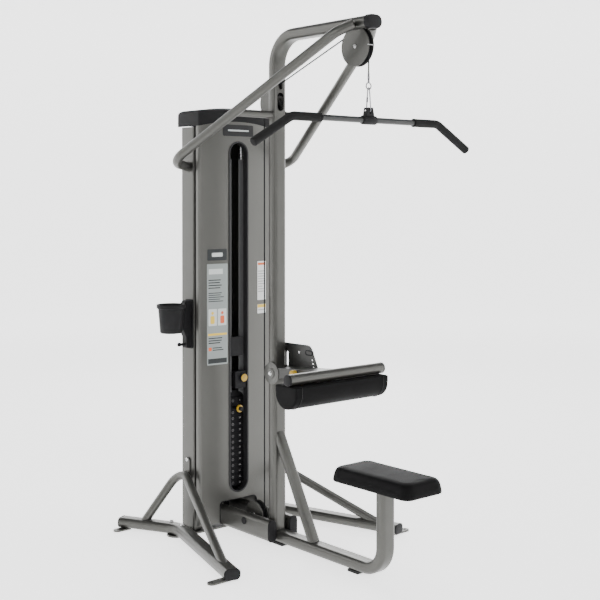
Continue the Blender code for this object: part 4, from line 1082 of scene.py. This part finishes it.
def build_pulleys():
    wheels = (
        ("boom_pulley", "boom_wheel", BOOM_PULLEY), ("column_pulley", "column_wheel", COLUMN_PULLEY),
        ("base_front_pulley", "base_front_wheel", BASE_PULLEY),
        ("base_rear_pulley", "base_rear_wheel", REAR_PULLEY),
        ("tower_top_pulley", "tower_top_wheel", TOP_PULLEY),
    )
    for node, body, place in wheels:
        holes = []
        for i in range(5):
            angle = 2 * math.pi * i / 5
            spot = (
                0, place[0] + place[2] * 0.55 * math.cos(angle),
                place[1] + place[2] * 0.55 * math.sin(angle)
            )
            holes.append(turned([(-0.02, 0), (-0.02, 0.007), (0.02, 0.007), (0.02, 0)], spot, "x", 24))
        piece(f"{node}_wheel", pulley(place), M["plastic"], body, nodes=[node], bevel=0.0003, cuts=holes)


def build_cheeks():
    cut_column = box((-0.05, -0.05, 1.8), (0.05, OVAL_DEPTH + 0.0003, 2.1))
    cut_boom = swept(column_path(), oval(0.0003), (1, 0, 0))
    groups = (("boom", BOOM_PULLEY, 0.082, cut_boom), ("column", COLUMN_PULLEY, 0.068, cut_column))
    for name, place, radius, cutter in groups:
        y, z = place[:2]
        cutter_data = mesh_object("cutter", cutter)
        for label, side in SIDES:
            disc = [(side * 0.0113, 0), (side * 0.0113, radius - 0.0006), (side * 0.0119, radius)]
            disc += [(side * 0.0144, radius), (side * 0.015, radius - 0.0006), (side * 0.015, 0)]
            mesh = turned(disc, (0, y, z), "x", 120)
            copy = bmesh.new()
            copy.from_mesh(cutter_data.data)
            nodes = [f"{name}_pulley_bracket"] if side < 0 else []
            piece(f"{name}_cheek_{label}", mesh, M["cheek_paint"], nodes=nodes, bevel=0.0005, cuts=[copy])
            if name == "boom" or side > 0:
                hex_bolt(
                    f"{name}_axle_bolt_{label}", (side * 0.015, y, z), (side, 0, 0), 0.01, 0.005, 0.008
                )
        bpy.data.objects.remove(cutter_data)
    y, z = BOOM_PULLEY[:2]
    pin = rod((-0.0175, y - 0.08, z), (0.0175, y - 0.08, z), 0.0017, 20)
    piece("cable_keeper_pin", pin, M["steel"], bevel=0.0003)
    for label, side in SIDES:
        y, z = BASE_PULLEY[:2]
        disc = [(side * 0.0135, 0), (side * 0.0135, 0.064), (side * 0.0145, 0.065), (side * 0.0175, 0.065)]
        disc += [(side * 0.0185, 0.064), (side * 0.019, 0.06), (side * 0.019, 0)]
        piece(f"base_cheek_{label}", turned(disc, (0, y, z), "x", 96), M["paint"], bevel=0.0005)
        hex_bolt(f"base_axle_bolt_{label}", (side * 0.019, y, z), (side, 0, 0), 0.017, 0.0085, 0.0125)


def tangent_angle(first, second):
    """Lean in degrees of the outer tangent over the top of two circles (y, z, radius)."""
    span = Vector((second[0] - first[0], second[1] - first[1]))
    lean = math.atan2(span.y, span.x) + math.asin((first[2] - second[2]) / span.length)
    return math.degrees(lean)


def build_cables():
    lean = tangent_angle(BOOM_PULLEY, COLUMN_PULLEY)
    route = arc_points(BOOM_PULLEY[:2], BOOM_PULLEY[2], 180, 90 + lean, 32)
    route += arc_points(COLUMN_PULLEY[:2], COLUMN_PULLEY[2], 90 + lean, 0, 32)
    route += arc_points(BASE_PULLEY[:2], BASE_PULLEY[2], 180, 270, 32)
    route += arc_points(REAR_PULLEY[:2], REAR_PULLEY[2], 270, 360, 32)
    route += arc_points(TOP_PULLEY[:2], TOP_PULLEY[2], 0, 180, 40)
    run = [Vector((0, y, z)) for y, z in route]
    piece("cable_route", swept(run, circle(CABLE_R, 16), (1, 0, 0)), M["cable"], nodes=["cable_run"])

    top = BOOM_PULLEY[1]
    low = 2.049
    path = [Vector((0, BAR_Y, top + (low - top) * i / 24)) for i in range(25)]
    drop = mesh_object("cable_drop_line", swept(path, circle(CABLE_R, 16), (1, 0, 0)))
    drop.data.shade_smooth()
    drop.data.materials.append(M["cable"])
    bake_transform(drop)
    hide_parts("cable_drop")

    top = TOP_PULLEY[1]
    low = 0.9245
    path = [Vector((0, ROD_Y, top + (low - top) * i / 24)) for i in range(25)]
    lift = mesh_object("cable_lift_line", swept(path, circle(CABLE_R, 16), (1, 0, 0)))
    lift.data.shade_smooth()
    lift.data.materials.append(M["cable"])
    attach(lift, "frame")
    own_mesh(lift)
    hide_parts("cable_lift")


# ---------------------------------------------------------------- hook, link and lat bar
def build_hook():
    profile = [
        (2.05, 0), (2.05, 0.0034), (2.0488, 0.0044), (2.04, 0.0046), (2.038, 0.0036),
        (2.036, 0.0048)
    ]
    profile += [(2.024, 0.0048), (2.0215, 0.004), (2.019, 0.0042), (2.0167, 0.0034), (2.0166, 0)]
    piece(
        "crimped_ferrule", turned(profile, (0, BAR_Y, 0), "z", 36), M["hook_steel"], "cable_end",
        nodes=["cable_ferrule"]
    )
    ring = [Vector((x, BAR_Y, z + 1.9955)) for x, z in circle(0.0135, 56)]
    eye = swept(ring, circle(0.0025, 16), (0, 1, 0), closed=True)
    piece("hook_eye", eye, M["hook_steel"], "pull_bar", nodes=["cable_snap_hook"])
    neck = [(2.0162, 0), (2.0162, 0.004), (2.015, 0.0046), (2.0125, 0.0044), (2.0095, 0.0032), (2.0075, 0)]
    piece("hook_neck", turned(neck, (0, BAR_Y, 0), "z", 36), M["hook_steel"], "pull_bar")
    top = arc_points((0, 1.983), 0.005, 20, 160, 20)
    low = arc_points((0, 1.901), 0.0125, 180, 360, 28)
    path = [Vector((0, BAR_Y + u, z)) for u, z in top + low]
    piece(
        "long_link", swept(path, circle(0.0025, 16), (1, 0, 0), closed=True), M["hook_steel"], "pull_bar",
        nodes=["bar_link"]
    )
    sleeve = rod((0, BAR_Y + 0.0092, 1.93), (0, BAR_Y + 0.0075, 1.95), 0.004, 28)
    piece("link_screw_sleeve", sleeve, M["hook_steel"], "pull_bar", bevel=0.0005)


def bar_path():
    ends = [(-0.592, BAR_Y, 1.752), (-0.408, BAR_Y, BAR_Z), (0.408, BAR_Y, BAR_Z), (0.592, BAR_Y, 1.752)]
    return fillet(ends, [0.06, 0.06], 20)


def build_lat_bar():
    path = bar_path()
    bar = swept(path, circle(BAR_R, 48), (0, 1, 0))
    piece("bar_tube", bar, M["bar_paint"], "pull_bar", nodes=["lat_bar"], bevel=0.0008)
    for name, side in SIDES:
        half = [p for p in path if p.x * side > 0]
        half = half if side > 0 else half[::-1]
        beyond = (half[-1] - half[-2]).normalized()
        grip = [Vector((side * 0.259, BAR_Y, BAR_Z))] + half + [half[-1] + beyond * 0.006]
        mesh = grip_mesh(grip)
        piece(f"grip_{name}", mesh, M["rubber"], "pull_bar", nodes=[f"bar_grip_{name}"])
    inner = BAR_R + 0.0003
    ring = [(-0.038, inner), (-0.038, 0.0155), (-0.036, 0.0175), (-0.033, 0.0185), (0.033, 0.0185)]
    ring += [(0.036, 0.0175), (0.038, 0.0155), (0.038, inner)]
    sleeve = turned(ring, (0, BAR_Y, BAR_Z), "x", 64, ring=True)
    ear = [(-0.0215, BAR_Z + 0.015), (0.0215, BAR_Z + 0.015), (0.015, 1.908), (-0.015, 1.908)]
    fork = prism(ear, "y", BAR_Y - 0.012, BAR_Y + 0.012)
    gap = box((-0.0045, BAR_Y - 0.016, 1.883), (0.0045, BAR_Y + 0.016, 1.92))
    bore = rod((-0.05, BAR_Y, BAR_Z), (0.05, BAR_Y, BAR_Z), inner, 48)
    piece(
        "bar_hub", sleeve, M["plastic"], "pull_bar", nodes=["bar_clevis"], bevel=0.001, welds=[fork],
        cuts=[gap, bore]
    )
    pin = rod((-0.019, BAR_Y, 1.896), (0.019, BAR_Y, 1.896), 0.0035, 28)
    piece("hub_pin", pin, M["steel"], "pull_bar", bevel=0.0006)


def grip_mesh(path):
    """A rubber grip: smooth with a rolled lip at its inner end and a domed outer end."""
    lengths = [0.0]
    for first, second in zip(path, path[1:]):
        lengths.append(lengths[-1] + (second - first).length)
    total = lengths[-1]
    marks = [0.0, 0.0012, 0.003, 0.006, 0.007, 0.0085]
    marks += [0.0085 + (total - 0.015) * i / 90 for i in range(1, 91)]
    marks += [total - 0.004, total - 0.002, total - 0.0008, total]
    points = []
    for mark in marks:
        k = max(i for i, length in enumerate(lengths) if length <= mark + 1e-9)
        if k == len(path) - 1:
            points.append(path[-1].copy())
        else:
            share = (mark - lengths[k]) / (lengths[k + 1] - lengths[k])
            points.append(path[k].lerp(path[k + 1], share))
    radii = [BAR_R + 0.0004, GRIP_R - 0.0012, GRIP_R, GRIP_R, GRIP_R - 0.0012, GRIP_R - 0.0012]
    radii += [GRIP_R - 0.001] * 90
    radii += [GRIP_R - 0.001, GRIP_R - 0.0022, GRIP_R - 0.005, GRIP_R - 0.0105]
    mesh = bmesh.new()
    rings = []
    for (point, side, up), radius in zip(stations(points, (0, 1, 0)), radii):
        rings.append([
            mesh.verts.new(point + side * u * radius + up * v * radius) for u, v in circle(1.0, 48)
        ])
    close_rings(mesh, rings)
    return mesh


# ---------------------------------------------------------------- thigh support
def build_thigh():
    dress("thigh_quadrant_plate", M["dark_paint"], 0.0006)
    dress("thigh_arm", M["dark_paint"], 0.003)
    y, z = THIGH
    tube = swept(
        [Vector((-0.262, y, z)), Vector((0.262, y, z))], circle(0.0235, 64), (0, 1, 0), inner=circle(
            0.021, 64
        )
    )
    piece("thigh_tube", tube, M["paint"], "thigh_support", nodes=["thigh_cross_tube"], bevel=0.0005)
    for name, side in SIDES:
        start = side * 0.2623
        profile = [
            (start, 0), (start, 0.024), (start + side * 0.004, 0.024), (start + side * 0.0062, 0.0228)
        ]
        profile += [(start + side * 0.008, 0.0185), (start + side * 0.0086, 0.0)]
        cap = turned(profile, (0, y, z), "x", 64)
        piece(
            f"thigh_cap_{name}", cap, M["plastic"], "thigh_support", nodes=[f"thigh_tube_cap_{name}"],
            bevel=0.0003
        )
    for name, side in SIDES:
        disc = [(side * 0.0432, 0), (side * 0.0432, 0.048), (side * 0.0436, 0.049), (side * 0.0458, 0.049)]
        disc += [(side * 0.0464, 0.048), (side * 0.0464, 0)]
        if side < 0:
            ear = turned(disc, (0, *HINGE), "x", 80)
            piece("hinge_ear", ear, M["ear_paint"], bevel=0.0004)
            boss = [(-0.046, 0), (-0.046, 0.0225), (-0.05, 0.022), (-0.0515, 0.0205), (-0.0515, 0)]
            piece("hinge_boss", turned(boss, (0, *HINGE), "x", 64), M["ear_paint"], bevel=0.0004)
    hex_bolt("hinge_bolt_left", (-0.0514, *HINGE), (-1, 0, 0), 0.014, 0.006, 0.0095)
    dress("thigh_hinge_bolt", M["steel"], 0.0)
    hex_bolt("hinge_bolt_right", (0.0504, *HINGE), (1, 0, 0), 0.019, 0.009, 0.015)
    grommet = [(u - 0.14, v + 0.86) for u, v in rounded_rectangle(0.05, 0.024, 0.0115, 10)]
    inner = [(u - 0.14, v + 0.86) for u, v in rounded_rectangle(0.04, 0.014, 0.0068, 10)]
    piece("quadrant_grommet", prism(grommet, "x", 0.044, 0.052), M["plastic"], bevel=0.0009,
          cuts=[prism(inner, "x", 0.03, 0.0485)])
    button_bolt("quadrant_bolt", (0.0459, -0.072, 0.856), (-1, 0, 0), 0.0075, 0.0045)


def build_lock():
    centre = (0, -0.16, 0.783)
    barrel = [(-0.0434, 0), (-0.0434, 0.009), (-0.047, 0.009), (-0.0474, 0.008), (-0.0474, 0)]
    piece("lock_barrel", turned(barrel, centre, "x", 40), M["steel"], "thigh_support", bevel=0.0004)
    profile = [(0.044, 0), (0.044, 0.0036), (0.0425, 0.0042), (-0.0478, 0.0042), (-0.0478, 0.0105)]
    profile += [(-0.05, 0.0125), (-0.056, 0.015), (-0.066, 0.0155), (-0.072, 0.014), (-0.075, 0.0105)]
    profile += [(-0.0762, 0.005), (-0.0764, 0)]
    piece(
        "lock_knob", turned(profile, centre, "x", 56), M["yellow"], "thigh_lock", nodes=["thigh_lock_knob"],
        bevel=0.0004
    )


# ---------------------------------------------------------------- pads
def remeshed(obj, cell):
    """Gives a cushion blank an even mesh of small cells."""
    remesh = obj.modifiers.new("remesh", "REMESH")
    remesh.mode = "VOXEL"
    remesh.voxel_size = cell
    apply_modifiers(obj)


def relax(obj, keep, rounds):
    """Smooths a mesh where keep(point) is false."""
    mesh = bmesh.new()
    mesh.from_mesh(obj.data)
    loose = [v for v in mesh.verts if not keep(v.co)]
    for _ in range(rounds):
        bmesh.ops.smooth_vert(
            mesh, verts=loose, factor=0.5, use_axis_x=True, use_axis_y=True, use_axis_z=True
        )
    mesh.to_mesh(obj.data)
    mesh.free()


def cloth_puff(obj, pinned, pressure, frames, cap):
    """Runs a short cloth simulation with inner pressure.  pinned(point) holds a vertex."""
    group = obj.vertex_groups.new(name="pinned")
    rest = [v.co.copy() for v in obj.data.vertices]
    group.add([i for i, co in enumerate(rest) if pinned(co)], 1.0, "REPLACE")
    cloth = obj.modifiers.new("cloth", "CLOTH")
    settings = cloth.settings
    settings.quality = 6
    settings.mass = 0.25
    settings.tension_stiffness = 22
    settings.compression_stiffness = 22
    settings.shear_stiffness = 8
    settings.bending_stiffness = 0.9
    settings.use_pressure = True
    settings.uniform_pressure_force = pressure
    settings.vertex_group_mass = "pinned"
    settings.pin_stiffness = 1.0
    settings.effector_weights.gravity = 0.0
    cloth.collision_settings.use_self_collision = False
    cloth.collision_settings.use_collision = False
    scene = bpy.context.scene
    cloth.point_cache.frame_start = 1
    cloth.point_cache.frame_end = frames
    for number in range(1, frames + 1):
        scene.frame_set(number)
    graph = bpy.context.evaluated_depsgraph_get()
    data = bpy.data.meshes.new_from_object(obj.evaluated_get(graph))
    obj.modifiers.clear()
    scene.frame_set(1)
    for vert, start in zip(data.vertices, rest):
        step = vert.co - start
        if step.length > cap:
            vert.co = start + step.normalized() * cap
    obj.data = data


def seat_blank(inset=0.0):
    low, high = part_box("seat_pad")
    middle = (low.y + high.y) / 2
    half_x = (high.x - low.x) / 2 - inset
    half_y = (high.y - low.y) / 2 - inset
    mesh = bmesh.new()
    rings = []
    top = high.z - 0.002
    sides = ((0.003, low.z), (0.0, low.z + 0.006), (0.001, low.z + 0.022))
    crown = ((0.005, top - 0.02), (0.01, top - 0.008), (0.016, top - 0.0025), (0.026, top))
    for shrink, z in sides + crown:
        outline = rounded_rectangle(2 * (half_x - shrink), 2 * (half_y - shrink), 0.034, 8)
        rings.append([mesh.verts.new((u, v + middle, z)) for u, v in outline])
    close_rings(mesh, rings)
    return mesh


def thigh_outline():
    top = THIGH[1] - 0.0235 - 0.001
    round_part = arc_points((-0.348, top - 0.03), 0.068, 180, 360, 28)
    return [(-0.28, top - 0.002), (-0.284, top), (-0.412, top), (-0.416, top - 0.002)] + round_part


def soft_piece(name, mesh, body, node, cell, pinned, pressure, cap):
    obj = mesh_object(name, mesh)
    remeshed(obj, cell)
    relax(obj, lambda co: False, 1)
    cloth_puff(obj, pinned, pressure, 20, cap)
    relax(obj, lambda co: False, 3)
    subdivide = obj.modifiers.new("smooth", "SUBSURF")
    subdivide.levels = 1
    subdivide.render_levels = 1
    apply_modifiers(obj)
    obj.data.shade_smooth()
    obj.data.materials.clear()
    obj.data.materials.append(M["vinyl"])
    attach(obj, body)
    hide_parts(node)
    return obj


def build_pads():
    low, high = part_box("seat_pad")
    soft_piece(
        "seat_cushion", seat_blank(-0.006), "frame", "seat_pad", 0.004,
        lambda co: co.z < low.z + 0.01, 4.0, 0.0012,
    )
    board = prism(
        [(u, v + (low.y + high.y) / 2) for u, v in rounded_rectangle(0.176, 0.4, 0.03, 8)], "z",
        low.z - 0.0002, low.z + 0.008
    )
    piece("seat_board", board, M["plastic"], bevel=0.0015)
    mesh = prism(thigh_outline(), "x", -0.2615, 0.2615)
    obj = soft_piece(
        "thigh_cushion", mesh, "thigh_support", "thigh_pad", 0.004,
        lambda co: co.z > 0.77 or abs(co.x) > 0.2595, 4.0, 0.0015,
    )
    for name, side in SIDES:
        path = []
        for y, z in arc_points((-0.348, THIGH[1] - 0.0545), 0.069, 180, 360, 40):
            path.append(Vector((side * 0.23, y, z)))
        path = [Vector((side * 0.23, -0.417, THIGH[1] - 0.027))] + path + [
            Vector((side * 0.23, -0.279, THIGH[1] - 0.027))
        ]
        seam = swept(path, circle(0.0011, 10), (1, 0, 0))
        piece(f"thigh_seam_{name}", seam, M["seam"], "thigh_support")


# ---------------------------------------------------------------- cup holder
def build_cup():
    x = -0.308
    y = 0.41
    outer = [
        (0.925, 0), (0.925, 0.0455), (0.9265, 0.0485), (0.93, 0.0505), (1.036, 0.059), (1.038, 0.0645),
        (1.04, 0.066)
    ]
    outer += [(1.052, 0.0665), (1.055, 0.0655), (1.056, 0.064), (1.0555, 0.0605), (1.052, 0.0575)]
    inner = [(0.932, 0.047), (0.9295, 0.045), (0.929, 0)]
    cup = turned(outer + inner, (x, y, 0), "z", 96)
    face = -(UPRIGHT_X + 0.025 + 0.0003)
    view = [(face, 0.852), (face, 1.068), (face - 0.03, 1.068), (-0.262, 1.036), (-0.259, 0.95)]
    view += [(face - 0.03, 0.9), (face - 0.028, 0.852)]
    arm = prism(view, "y", y - 0.016, y + 0.016)
    bore = turned(
        [(0.933, 0), (0.933, 0.0465), (1.052, 0.0572), (1.08, 0.0572), (1.08, 0)], (x, y, 0), "z", 96
    )
    piece("bottle_holder", cup, M["plastic"], nodes=["cup_holder"], bevel=0.0012, welds=[arm], cuts=[bore])
    plate = prism(
        [(v + y, u + 0.96) for u, v in rounded_rectangle(0.226, 0.06, 0.01, 8)], "x", face - 0.006, face
    )
    piece("holder_plate", plate, M["plastic"], bevel=0.0018)
    peg = rod((face - 0.006, y, 0.866), (-0.262, y, 0.868), 0.0065, 36)
    piece("towel_peg", peg, M["plastic"], bevel=0.0004)
    ball = []
    for angle in range(0, 181, 12):
        turn = math.radians(angle)
        ball.append((-0.264 - 0.0095 * math.cos(turn), 0.0095 * math.sin(turn)))
    ball[0] = (ball[0][0], 0.0)
    ball[-1] = (ball[-1][0], 0.0)
    piece("towel_peg_ball", turned(ball, (0, y, 0.868), "x", 40), M["plastic"])


# ---------------------------------------------------------------- studio
def build_stage():
    """A pale cove: a floor that curves up into a round wall."""
    profile = [(0.0, 0.0), (0.0, 9.0)]
    for angle in range(6, 91, 6):
        turn = math.radians(angle)
        profile.append((4.0 - 4.0 * math.cos(turn), 9.0 + 4.0 * math.sin(turn)))
    profile += [(9.0, 13.0)]
    mesh = turned(profile, (0, 0, -0.0006), "z", 96)
    cove = mesh_object("cove", mesh)
    cove.data.shade_smooth()
    pale = new_material("cove_pale", (0.8, 0.8, 0.8), 0.85, specular=0.1)
    shader = pale.node_tree.nodes["Principled BSDF"]
    shader.inputs["Emission Color"].default_value = (1, 1, 1, 1)
    place = add_node(pale, "ShaderNodeTexCoord")
    depth = add_node(pale, "ShaderNodeVectorMath", operation="DOT_PRODUCT")
    depth.inputs[1].default_value = (0.65, 0.76, 0.0)
    link(pale, place, "Object", depth, 0)
    glow = add_node(pale, "ShaderNodeMapRange")
    glow.inputs["From Min"].default_value = -4.5
    glow.inputs["From Max"].default_value = -1.5
    glow.inputs["To Min"].default_value = 0.15
    glow.inputs["To Max"].default_value = 1.9
    link(pale, depth, "Value", glow, "Value")
    link(pale, glow, "Result", shader, "Emission Strength")
    cove.data.materials.append(pale)


def area_light(name, place, target, size, power, colour=(1, 1, 1)):
    light = bpy.data.lights.new(name, "AREA")
    light.shape = "RECTANGLE"
    light.size = size[0]
    light.size_y = size[1]
    light.energy = power
    light.color = colour
    obj = bpy.data.objects.new(name, light)
    obj.location = place
    direction = Vector(target) - Vector(place)
    obj.rotation_euler = direction.to_track_quat("-Z", "Y").to_euler()
    bpy.context.scene.collection.objects.link(obj)


def build_lights():
    world = bpy.data.worlds.new("studio")
    bpy.context.scene.world = world
    world.use_nodes = True
    world.node_tree.nodes["Background"].inputs["Color"].default_value = (1, 1, 1, 1)
    world.node_tree.nodes["Background"].inputs["Strength"].default_value = 0.2
    area_light("key", (-1.0, -4.8, 3.4), (0, 0.2, 1.1), (2.0, 2.6), 120)
    area_light("fill", (-4.4, -0.6, 2.6), (0, 0, 1.0), (1.0, 2.6), 40)
    area_light("top", (0.3, 0.2, 5.2), (0, 0, 1.0), (2.4, 2.4), 75)
    area_light("rim", (2.8, 3.4, 3.2), (0, 0.2, 1.2), (1.4, 2.6), 70)


def build_camera():
    """Looks at the machine from the seat's left, at chest height."""
    data = bpy.data.cameras.new("camera")
    data.sensor_width = 36.0
    data.lens = 67.29
    data.shift_x = -0.0013
    data.shift_y = -0.1461
    camera = bpy.data.objects.new("camera", data)
    camera.location = (-3.1748, -3.8481, 1.5517)
    camera.rotation_euler = (math.radians(90 - 0.8674), 0.0, math.radians(-40.5532))
    bpy.context.scene.collection.objects.link(camera)
    bpy.context.scene.camera = camera


def main():
    build_column()
    build_boom_cap()
    build_rail()
    build_feet()
    build_beams()
    build_stabilisers()
    build_front_shroud()
    build_slot_trim()
    build_uprights()
    build_top_cap()
    build_prints()
    build_stack()
    build_pins()
    build_pulleys()
    build_cheeks()
    build_cables()
    build_hook()
    build_lat_bar()
    build_thigh()
    build_lock()
    build_pads()
    build_cup()
    build_stage()
    build_lights()
    build_camera()


main()
